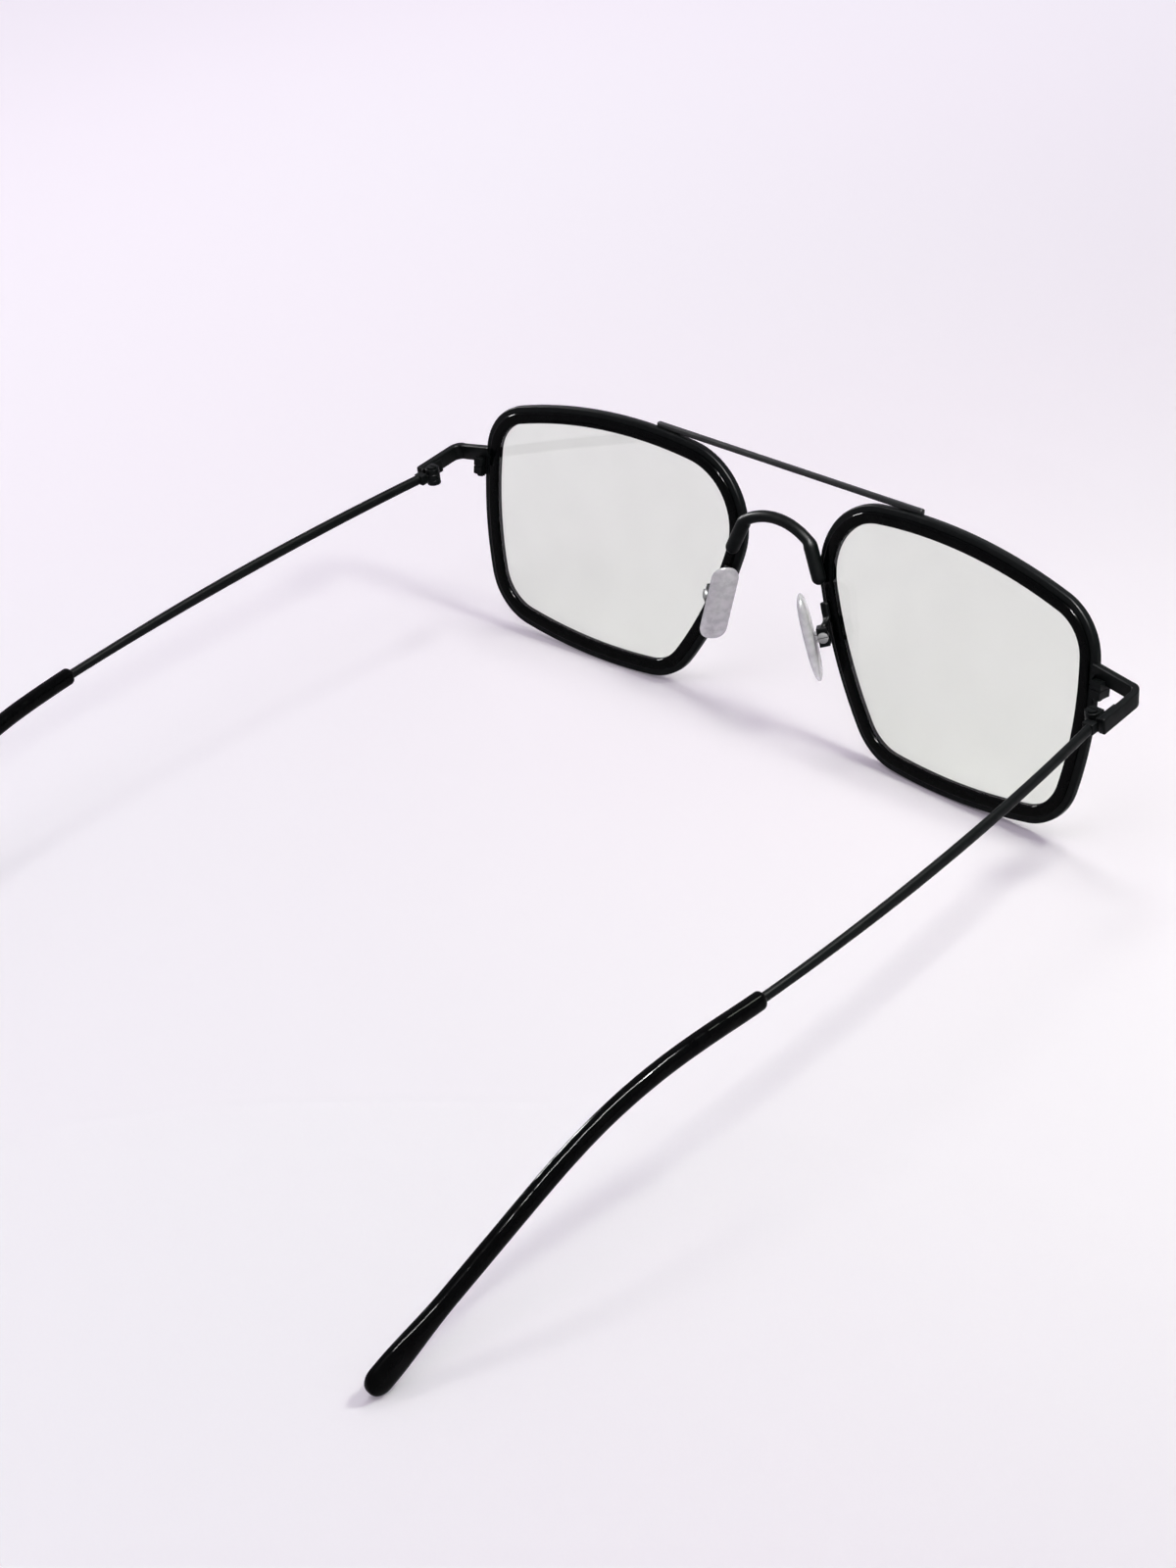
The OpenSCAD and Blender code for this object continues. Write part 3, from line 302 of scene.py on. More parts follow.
# Sections, paths and skins


def unit(v):
    return v.normalized()


def way(angle):
    """The direction at an angle in a flat drawing."""
    return Vector((math.cos(angle), math.sin(angle)))


def full_turn(count):
    """Angles evenly spread round a circle."""
    return [2 * math.pi * k / count for k in range(count)]


def mix(a, b, share):
    return a + (b - a) * share


def smooth(share):
    """The share held between 0 and 1, with a soft start and end."""
    held = min(1.0, max(0.0, share))
    return held * held * (3 - 2 * held)


def rounded_outline(corners, radii, steps=5):
    """Closed outline through the corners, each with its own radius; 0 keeps a corner sharp."""
    outline = []
    count = len(corners)
    for place, (corner, radius) in enumerate(zip(corners, radii)):
        here = Vector(corner)
        if not radius:
            outline.append(here)
            continue
        to_last = unit(Vector(corners[place - 1]) - here)
        to_next = unit(Vector(corners[(place + 1) % count]) - here)
        half = to_last.angle(to_next) / 2
        centre = here + unit(to_last + to_next) * radius / math.sin(half)
        first = here + to_last * radius / math.tan(half) - centre
        last = here + to_next * radius / math.tan(half) - centre
        swing = first.angle(last)
        for k in range(steps + 1):
            share = k / steps
            outline.append(centre + (first * math.sin((1 - share) * swing)
                                     + last * math.sin(share * swing)) / math.sin(swing))
    return outline


def box_corners(width, height):
    """The four corners of an oblong round the origin."""
    return [(-width / 2, -height / 2), (width / 2, -height / 2), (width / 2, height / 2),
            (-width / 2, height / 2)]


def bowed(value, power):
    """The value's size raised to a power, with its sign kept."""
    return math.copysign(abs(value) ** power, value)


def oval_section(width, height, roundness, count=40):
    """Closed section between an ellipse (1) and a box (0)."""
    return [Vector((bowed(math.cos(a), roundness) * width / 2,
                    bowed(math.sin(a), roundness) * height / 2)) for a in full_turn(count)]


def curve_through(places, steps):
    """Points of a smooth curve through the places, with the same number of steps between them."""
    path = []
    for k in range(len(places) - 1):
        p0, p1, p2 = places[max(0, k - 1)], places[k], places[k + 1]
        p3 = places[min(len(places) - 1, k + 2)]
        for t in (j / steps for j in range(steps)):
            path.append(0.5 * ((2 * p1) + (p2 - p0) * t + (2 * p0 - 5 * p1 + 4 * p2 - p3) * t * t
                               + (3 * p1 - p0 - 3 * p2 + p3) * t ** 3))
    return path + [places[-1]]


def skin_mesh(name, rings, closed=False, capped=True, sharp=50):
    """Object with a smooth skin through a list of rings that all have the same number of points."""
    shell = bmesh.new()
    loops = [[shell.verts.new(point) for point in ring] for ring in rings]
    spans = len(loops) if closed else len(loops) - 1
    for j in range(spans):
        near, far = loops[j], loops[(j + 1) % len(loops)]
        for k in range(len(near)):
            nxt = (k + 1) % len(near)
            shell.faces.new((near[k], near[nxt], far[nxt], far[k]))
    if capped and not closed:
        shell.faces.new(list(reversed(loops[0])))
        shell.faces.new(loops[-1])
    bmesh.ops.recalc_face_normals(shell, faces=shell.faces)
    mesh = bpy.data.meshes.new(name)
    shell.to_mesh(mesh)
    shell.free()
    for polygon in mesh.polygons:
        polygon.use_smooth = True
    mesh.set_sharp_from_angle(angle=math.radians(sharp))
    piece = bpy.data.objects.new(name, mesh)
    bpy.context.scene.collection.objects.link(piece)
    return piece


def mirrored(rings):
    return [[Vector((-p.x, p.y, p.z)) for p in ring] for ring in rings]


def settle(piece, material, slot, body, *nodes):
    """Gives a piece its finish and its body, and hides the nodes that it stands for. The slot is not
    used.
    """
    piece.data.materials.append(material)
    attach(piece, body)
    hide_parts(*nodes)


def add_pair(name, rings, material, slot, node, bodies=("front", "front"), **how):
    """The left piece and its mirror image on the right."""
    for side, body in zip(SIDES, bodies):
        piece = skin_mesh(f"{name}_{side}", rings if side == "left" else mirrored(rings), **how)
        settle(piece, material, slot, body, *[f"{kind}_{side}" for kind in node.split()])


def dress(name, material, edge):
    """Gives the left and the right node of a name their finish and rounds their edges."""
    for side in SIDES:
        piece = frame["nodes"][f"{name}_{side}"]
        if not piece.material_slots:
            piece.data.materials.append(material)
        for held in piece.material_slots:
            held.material = material
        weld = piece.modifiers.new("Join facets", "WELD")
        weld.merge_threshold = 0.000002
        bevel = piece.modifiers.new("Rounded edges", "BEVEL")
        bevel.width = edge
        bevel.segments = 3
        bevel.limit_method = "ANGLE"
        bevel.angle_limit = math.radians(38)
        even = piece.modifiers.new("Even shading", "WEIGHTED_NORMAL")
        even.keep_sharp = False


# Where things lie


def joint(name):
    return next(j for j in frame["joints"] if j["name"] == name)


def hinge_matrix():
    """Frame of the left hinge: the pin along Z, the open temple along Y."""
    hinge = joint("temple_fold_left")
    axis = unit(Vector(hinge["axis"]))
    tilt = -math.atan2(axis.y, axis.z)
    return Matrix.Translation(Vector(hinge["pos_m"])) @ Matrix.Rotation(tilt, 4, "X")


def front_matrix(sizes):
    """Frame of the front: X sideways, Y rearwards, Z up in the plane of the rims."""
    hinge = joint("temple_fold_left")
    axis = unit(Vector(hinge["axis"]))
    lean = sizes.temple_drop - math.atan2(axis.y, axis.z)
    turn = Matrix.Rotation(lean, 4, "X")
    pin = Vector(hinge["pos_m"])
    return Matrix.Translation(pin - turn @ Vector((pin.x, sizes.pin_behind, sizes.pin_up))) @ turn


def side_arcs(opening):
    """Corner and side arcs of the lens opening: (centre, radius, start angle, end angle)."""
    corners = [Vector(c) for c in zip(opening.corner_across, opening.corner_up)]
    middles = []
    for i in range(4):
        here, there = corners[i], corners[(i + 1) % 4]
        reach_here = opening.side_radius[i] - opening.corner_radius[i]
        reach_there = opening.side_radius[i] - opening.corner_radius[(i + 1) % 4]
        gap = (there - here).length
        along = (there - here) / gap
        run = (reach_here ** 2 - reach_there ** 2 + gap ** 2) / (2 * gap)
        rise = math.sqrt(reach_here ** 2 - run ** 2)
        middles.append(here + run * along + rise * Vector((-along.y, along.x)))
    arcs = []
    for i in range(4):
        start = corners[i] - middles[i - 1]
        end = corners[i] - middles[i]
        following = corners[(i + 1) % 4] - middles[i]
        arcs.append((corners[i], opening.corner_radius[i], math.atan2(start.y, start.x),
                     math.atan2(end.y, end.x)))
        arcs.append((middles[i], opening.side_radius[i], math.atan2(end.y, end.x),
                     math.atan2(following.y, following.x)))
    return arcs


def arc_stations(centre, radius, start, end, steps):
    """Places on an arc with the way out of it; the arc's last place is left to the next one."""
    swing = (end - start) % (2 * math.pi)
    stations = []
    for k in range(steps):
        out = way(start + swing * k / steps)
        stations.append((centre + radius * out, out))
    return stations


def opening_stations(opening, cut_height=None, cut_half=0.0):
    """Places on the edge of the lens opening with the way out of it, all round or cut to cut."""
    arcs = side_arcs(opening)
    outer_side = len(arcs) - 1  # the side next to the temple, which holds the cut
    corner_steps, side_steps, cut_side_steps = 22, 18, 10
    stations = []
    for number, arc in enumerate(arcs):
        if cut_height is None or number < outer_side:
            stations += arc_stations(*arc, corner_steps if number % 2 == 0 else side_steps)
    if cut_height is not None:
        centre, radius, start, end = arcs[outer_side]
        cut = math.asin((cut_height - centre.y) / radius) % (2 * math.pi)
        open_half = cut_half / radius
        last = cut - open_half
        before = arc_stations(centre, radius, start, last, cut_side_steps)
        before.append((centre + radius * way(last), way(last)))
        after = arc_stations(centre, radius, cut + open_half, end, cut_side_steps)
        stations = after + stations + before
    return stations


def rim_rings(opening, placed, section, stations):
    """Rings of a section (out of the opening, depth to the back) round the left rim."""
    c, s = math.cos(opening.wrap), math.sin(opening.wrap)
    rings = []
    for place, out in stations:
        ring = []
        for across, deep in section:
            u, v = place.x + across * out.x, place.y + across * out.y
            ring.append(placed @ Vector((opening.lens_spread + u * c - deep * s,
                                         u * s + deep * c, v)))
        rings.append(ring)
    return rings


def rim_limits(opening, rim):
    """Inner side, outer side and top of the metal wire, in the front's frame."""
    reach = rim.ring_width - rim.wire_seat + rim.wire_width
    front = (rim.ring_depth - rim.wire_depth) / 2
    flat = Matrix.Identity(4)
    rings = rim_rings(opening, flat, [(reach, front), (reach, front + rim.wire_depth)],
                      opening_stations(opening))
    points = [p for ring in rings for p in ring]
    return (min(p.x for p in points), max(p.x for p in points), max(p.z for p in points))


# Finishes


def start_material(name):
    """A new material and its node tree, or the one of this name if it is there, and no tree."""
    made = bpy.data.materials.get(name)
    if made:
        return made, None
    made = bpy.data.materials.new(name)
    made.use_nodes = True
    return made, made.node_tree


def fill(tree, node, inputs):
    """Sets a node's inputs: another node's output is joined, a number or colour written in."""
    for name, value in inputs.items():
        if isinstance(value, bpy.types.NodeSocket):
            tree.links.new(value, node.inputs[name])
        else:
            node.inputs[name].default_value = value


def add_node(tree, kind, inputs=None, **settings):
    """A new node with its settings and then its inputs."""
    node = tree.nodes.new("ShaderNode" + kind)
    for name, value in settings.items():
        setattr(node, name, value)
    fill(tree, node, inputs or {})
    return node


def coat(tree, inputs):
    """Sets the inputs of a material's own surface shader."""
    shader = tree.nodes["Principled BSDF"]
    fill(tree, shader, inputs)
    return shader


def grain(tree, size, detail=2.0, stretch=(1.0, 1.0, 1.0)):
    """Noise whose grains are about the given size in metres."""
    place = add_node(tree, "TexCoord").outputs["Object"]
    spread = add_node(tree, "Mapping", {"Vector": place, "Scale": stretch}).outputs["Vector"]
    noise = add_node(tree, "TexNoise", {"Vector": spread, "Scale": 1 / size, "Detail": detail})
    return noise.outputs["Fac"]


def spread_between(tree, value, low, high, start=0.35, end=0.65, **settings):
    """The value mapped from start and end to low and high."""
    ranged = add_node(tree, "MapRange", {"Value": value, "From Min": start, "From Max": end,
                                         "To Min": low, "To Max": high}, **settings)
    return ranged.outputs["Result"]


def two_tones(tree, value, first, second):
    """The first colour where the value is 0 and the second where it is 1."""
    blend = add_node(tree, "Mix", {"Factor": value, "A": (*first, 1), "B": (*second, 1)},
                     data_type="RGBA")
    return blend.outputs["Result"]


def shade(colour, share, lift=0.0):
    """The colour taken up or down by a share, and lifted a little."""
    return tuple(share * c + lift for c in colour)


def bumped(tree, height, depth, strength=1.0, under=None):
    """Shading direction of a surface whose height follows the value, on top of another one."""
    inputs = {"Height": height, "Distance": depth, "Strength": strength}
    if under:
        inputs["Normal"] = under
    return add_node(tree, "Bump", inputs).outputs["Normal"]


def satin_paint(finishes, name="satin_black_paint", sheen=None):
    """Black satin paint on metal: fine spray grain, rubbed patches and faint cloudiness."""
    made, tree = start_material(name)
    if tree:
        spray = grain(tree, size=0.00009, detail=3)
        cloud = grain(tree, size=0.0022, detail=3)
        rubbed = spread_between(tree, cloud, low=0.0, high=0.55, start=0.50, end=0.72)
        coat(tree, {
            "Specular IOR Level": sheen or finishes.paint_sheen,
            "Base Color": two_tones(tree, rubbed, finishes.paint, finishes.paint_worn),
            "Roughness": spread_between(tree, cloud, low=0.46, high=0.33),
            "Normal": bumped(tree, spray, depth=0.000012, strength=0.6)})
    return made


def gloss_plastic(name, finishes, colour, lump_size, lump_depth):
    """Polished black plastic: long soft lumps, fine wiping marks and a few dull patches."""
    made, tree = start_material(name)
    if tree:
        cloud = grain(tree, size=0.0016, detail=3)
        dull = spread_between(tree, cloud, low=0, high=0.5)
        wipes = grain(tree, size=0.00012, detail=2, stretch=(0.15, 1.0, 1.0))
        lumps = grain(tree, lump_size, detail=1)
        fine = bumped(tree, wipes, depth=0.000002, strength=0.5)
        coat(tree, {
            "Specular IOR Level": finishes.plastic_sheen,
            "Base Color": two_tones(tree, dull, colour, shade(colour, 2.2, lift=0.001)),
            "Roughness": spread_between(tree, cloud, low=0.05, high=0.13),
            "Normal": bumped(tree, lumps, lump_depth, under=fine)})
    return made


def let_lamps_through(tree, shader):
    """Lets the lamps shine through clear pieces, so they cast next to no shadow."""
    let_by = (0.97, 0.98, 0.97, 1)  # what a clear piece leaves of a lamp's light
    path = add_node(tree, "LightPath")
    open_air = add_node(tree, "BsdfTransparent", {"Color": let_by})
    chosen = add_node(tree, "MixShader", {"Fac": path.outputs["Is Shadow Ray"],
                                          1: shader.outputs["BSDF"],
                                          2: open_air.outputs["BSDF"]})
    fill(tree, tree.nodes["Material Output"], {"Surface": chosen.outputs["Shader"]})


def lens_glass(finishes):
    """Flat lens with a faint grey green coat, its tint a little uneven as a wiped lens is."""
    made, tree = start_material("lens_glass")
    if tree:
        smear = spread_between(tree, grain(tree, size=0.009, detail=3), 0, 1)
        shader = coat(tree, {
            "Transmission Weight": 1.0, "Roughness": 0.0, "IOR": 1.5,
            "Base Color": two_tones(tree, smear, finishes.lens, shade(finishes.lens, 0.975))})
        let_lamps_through(tree, shader)
    return made


def lens_edge(finishes):
    """Ground and blackened edge of a lens, rough where the wheel went round it."""
    made, tree = start_material("blackened_lens_edge")
    if tree:
        ground = grain(tree, size=0.00025, detail=3)
        patches = spread_between(tree, ground, 0, 1)
        worn = shade(finishes.plastic, 3, lift=0.002)
        coat(tree, {
            "Specular IOR Level": 0.1,
            "Base Color": two_tones(tree, patches, finishes.plastic, worn),
            "Roughness": spread_between(tree, ground, low=0.5, high=0.8),
            "Normal": bumped(tree, ground, depth=0.00002)})
    return made


def clear_plastic(name, colour, roughness, ior, ripple, clear):
    """Clear moulded plastic with soft ripples and cloudy places."""
    made, tree = start_material(name)
    if tree:
        cloud = grain(tree, size=0.0011, detail=3)
        milky = spread_between(tree, cloud, 0, 1)
        shader = coat(tree, {
            "Transmission Weight": clear, "IOR": ior,
            "Base Color": two_tones(tree, milky, colour, shade(colour, 0.78)),
            "Roughness": spread_between(tree, cloud, low=roughness, high=roughness + 0.12),
            "Normal": bumped(tree, grain(tree, size=0.0014, detail=2), ripple)})
        let_lamps_through(tree, shader)
    return made


def screw_steel(finishes):
    """Bare steel with turning marks."""
    made, tree = start_material("turned_steel")
    if tree:
        marks = grain(tree, size=0.00006, detail=2, stretch=(1.0, 1.0, 6.0))
        turned = spread_between(tree, marks, 0, 1)
        coat(tree, {
            "Metallic": 1.0,
            "Base Color": two_tones(tree, turned, finishes.steel, shade(finishes.steel, 0.55)),
            "Roughness": spread_between(tree, marks, low=0.45, high=0.60),
            "Normal": bumped(tree, marks, depth=0.000006)})
    return made


# The pieces


class GLASSES_OT_rims(Operator):
    """Sweeps the metal wire and the polished plastic ring of each rim round its lens"""
    bl_idname = "glasses.rims"
    bl_label = "Rims"

    def execute(self, context):
        scene = context.scene
        opening, rim, hinge = scene.glasses_opening, scene.glasses_rims, scene.glasses_hinges
        placed = front_matrix(hinge)
        front = (rim.ring_depth - rim.wire_depth) / 2
        seat = rim.ring_width - rim.wire_seat
        back = front + rim.wire_depth
        groove_front = (rim.ring_depth - rim.lens_thickness) / 2
        groove_back = rim.ring_depth - groove_front
        wide, deep = rim.ring_width, rim.ring_depth
        edge, outer = rim.ring_round, rim.ring_outer_round
        inner = min(edge, 0.9 * groove_front)  # leaves a narrow flat on each side of the groove
        ring = rounded_outline(
            [(0, groove_front), (rim.groove, groove_front), (rim.groove, groove_back),
             (0, groove_back), (0, deep), (wide, deep), (wide, back), (seat, back), (seat, front),
             (wide, front), (wide, 0), (0, 0)],
            [0, 0, 0, 0, inner, outer, rim.seat_round, 0, 0, rim.seat_round, outer, inner])
        wire = rounded_outline(
            [(seat, front), (seat, back), (seat + rim.wire_width, back),
             (seat + rim.wire_width, front)],
            [0, 0, rim.wire_round, rim.wire_round])
        finishes = scene.glasses_finishes
        plastic = gloss_plastic("black_ring_plastic", finishes, finishes.plastic,
                                lump_size=0.0035, lump_depth=0.00012)
        add_pair("rim_plastic", rim_rings(opening, placed, ring, opening_stations(opening)),
                 plastic, "black_plastic", "rim_insert", closed=True)
        cut = opening_stations(opening, hinge.pin_up + hinge.lock_rise, rim.saw_cut / 2)
        add_pair("rim_metal", rim_rings(opening, placed, wire, cut), satin_paint(finishes),
                 "frame_metal", "rim_wire")
        return {"FINISHED"}


class GLASSES_OT_lenses(Operator):
    """Cuts the flat lenses with their bevelled, blackened edges"""
    bl_idname = "glasses.lenses"
    bl_label = "Lenses"

    def execute(self, context):
        scene = context.scene
        opening, rim, finishes = scene.glasses_opening, scene.glasses_rims, scene.glasses_finishes
        placed = front_matrix(scene.glasses_hinges)
        half, middle = rim.lens_thickness / 2 - rim.lens_fit, rim.ring_depth / 2
        bevel = rim.lens_bevel
        profile = [(rim.lens_seat - bevel, middle - half), (rim.lens_seat, middle - half + bevel),
                   (rim.lens_seat, middle + half - bevel), (rim.lens_seat - bevel, middle + half)]
        around = rim_rings(opening, placed, profile, opening_stations(opening))
        loops = [[ring[k] for ring in around] for k in range(len(profile))]
        add_pair("flat_lens", loops, lens_glass(finishes), "lens", "lens", sharp=30)
        edge = lens_edge(finishes)
        for side in SIDES:
            mesh = bpy.data.objects[f"flat_lens_{side}"].data
            mesh.materials.append(edge)
            for face in mesh.polygons:  # the two clear faces have many corners, the edge has four
                face.material_index = 0 if len(face.vertices) > 4 else 1
        return {"FINISHED"}


class GLASSES_OT_bridges(Operator):
    """Draws the straight upper bar and bends the lower bridge's rod"""
    bl_idname = "glasses.bridges"
    bl_label = "Bridges"

    def execute(self, context):
        scene = context.scene
        opening, rim, sizes = scene.glasses_opening, scene.glasses_rims, scene.glasses_bridges
        placed = front_matrix(scene.glasses_hinges)
        finishes = scene.glasses_finishes
        nose, _, top = rim_limits(opening, rim)
        bar_paint = satin_paint(finishes, "bar_black_paint", finishes.bar_sheen)
        self.bar(sizes, placed, top + sizes.bar_rise, bar_paint)
        self.arch(sizes, placed, nose, satin_paint(finishes))
        return {"FINISHED"}

    def bar(self, sizes, placed, top, paint):
        """A square section along the bar, drawn in a little over its last stretch."""
        half, wide, edge = sizes.bar_half, sizes.bar_section, sizes.bar_round
        middle = Vector((0, sizes.bar_front + wide / 2, top - wide / 2))
        section = rounded_outline(box_corners(wide, wide), [edge] * 4)
        end = wide / 4
        lifts = [math.radians(a) for a in range(0, 91, 18)]
        stops = [(half - end + end * math.sin(a), 1 - sizes.bar_taper * (1 - math.cos(a)))
                 for a in lifts]
        rings = []
        for side in (-1, 1):
            for along, shrink in (stops if side > 0 else reversed(stops)):
                rings.append([placed @ (middle + Vector((side * along, p.x * shrink, p.y * shrink)))
                              for p in section])
        settle(skin_mesh("upper_bar_metal", rings), paint, "frame_metal", "front", "upper_bar")

    def arch(self, sizes, placed, nose, paint):
        """A round section along foot, bend, crest and the mirror image of bend and foot."""
        bend_x = nose - sizes.foot_inset - sizes.bend_radius * math.sin(sizes.foot_angle)
        arch_radius = sizes.bend_radius + bend_x / math.sin(sizes.arch)
        crest_middle = Vector((0, sizes.crest - arch_radius))
        bend_middle = Vector((bend_x, crest_middle.y + bend_x / math.tan(sizes.arch)))
        foot_turn = math.pi / 2 - sizes.foot_angle
        arch_turn = math.pi / 2 - sizes.arch
        down = Vector((math.sin(foot_turn), -math.cos(foot_turn)))
        knee = bend_middle + sizes.bend_radius * way(foot_turn)
        foot_end = (86, 72, 58, 44, 30, 15, 0)  # degrees up the round end of the foot
        bend_steps, arch_steps, round_steps = 16, 32, 36
        left = []
        for lift in map(math.radians, foot_end):
            reach = sizes.foot_length + sizes.foot_radius * math.sin(lift)
            left.append((knee + reach * down, foot_turn, sizes.foot_radius * math.cos(lift)))
        for k in range(bend_steps + 1):
            share = k / bend_steps
            a = mix(foot_turn, arch_turn, share)
            left.append((bend_middle + sizes.bend_radius * way(a), a,
                         mix(sizes.foot_radius, sizes.rod_radius, smooth(share))))
        crest = []
        for k in range(1, arch_steps):
            a = mix(arch_turn, math.pi - arch_turn, k / arch_steps)
            crest.append((crest_middle + arch_radius * way(a), a, sizes.rod_radius))
        right = [(Vector((-p.x, p.y)), math.pi - a, r) for p, a, r in reversed(left)]
        rings = []
        for point, turn, radius in left + crest + right:
            rings.append([placed @ Vector((point.x + radius * math.cos(t) * math.cos(turn),
                                           sizes.rod_behind - radius * math.sin(t),
                                           point.y + radius * math.cos(t) * math.sin(turn)))
                          for t in full_turn(round_steps)])
        settle(skin_mesh("lower_bridge_metal", rings), paint, "frame_metal", "front",
               "lower_bridge")


class GLASSES_OT_end_pieces(Operator):
    """Bends the end piece strips and finishes the rim locks and their screws"""
    bl_idname = "glasses.end_pieces"
    bl_label = "End pieces"

    def execute(self, context):
        scene = context.scene
        sizes, finishes = scene.glasses_hinges, scene.glasses_finishes
        placed = hinge_matrix()
        _, edge, _ = rim_limits(scene.glasses_opening, scene.glasses_rims)
        pin = joint("temple_fold_left")["pos_m"][0]
        thick, tall = sizes.strip_thickness, sizes.strip_height
        outer = sizes.strip_inner + thick
        bend = sizes.strip_corner
        middle = bend - thick / 2
        corner = Vector((outer - bend, bend - sizes.strip_reach))
        start = edge - sizes.strip_inset - pin
        slope = sizes.strip_slope
        high, fall = sizes.corner_rise, middle * math.sin(slope) / 2
        lead_steps, bend_steps, tail_steps = 8, 24, 12
        path = []
        for k in range(lead_steps):
            across = mix(start, corner.x, k / lead_steps)
            path.append((Vector((across, corner.y - middle,
                                 high + (corner.x - across) * math.tan(slope))),
                         -math.pi / 2, slope))
        for k in range(bend_steps + 1):
            a, left = mix(-math.pi / 2, 0, k / bend_steps), 1 - smooth(k / bend_steps)
            path.append((Vector((corner.x + middle * math.cos(a), corner.y + middle * math.sin(a),
                                 high - fall * (1 - left))), a, slope * left))
        for k in range(1, tail_steps + 1):
            share = k / tail_steps
            path.append((Vector((corner.x + middle, mix(corner.y, sizes.strip_tail, share),
                                 mix(high - fall, 0, share))), 0, 0))
        section = rounded_outline(box_corners(thick, tall), [sizes.strip_round] * 4)
        rings = []
        for point, turn, lean in path:
            outward = Vector((math.cos(turn), math.sin(turn), 0))
            upward = Vector((math.sin(lean), 0, math.cos(lean)))
            rings.append([placed @ (point + p.x * outward + p.y * upward) for p in section])
        tail = rings.pop()
        # Distance before the end and the share of the section that is left there
        soft_end = ((0.00016, 1.0), (0.0001, 0.985), (0.00004, 0.94), (0, 0.86))
        for back, shrink in soft_end:
            shift = placed.to_3x3() @ Vector((0, -back, 0))
            centre = sum(tail, Vector()) / len(tail)
            rings.append([centre + (p - centre) * shrink + shift for p in tail])
        paint = satin_paint(finishes)
        add_pair("end_strip", rings, paint, "frame_metal", "end_piece")
        dress("lock_upper", paint, sizes.edge_round)
        dress("lock_lower", paint, sizes.edge_round)
        dress("lock_screw", paint, sizes.edge_round / 2)
        return {"FINISHED"}


class GLASSES_OT_hinges(Operator):
    """Finishes the hinge leaves, knuckles and blackened screws"""
    bl_idname = "glasses.hinges"
    bl_label = "Hinges"

    def execute(self, context):
        scene = context.scene
        paint = satin_paint(scene.glasses_finishes)
        edge = scene.glasses_hinges.edge_round
        dress("hinge_front", paint, edge)
        dress("hinge_temple", paint, edge)
        dress("hinge_screw", paint, edge / 2)
        return {"FINISHED"}


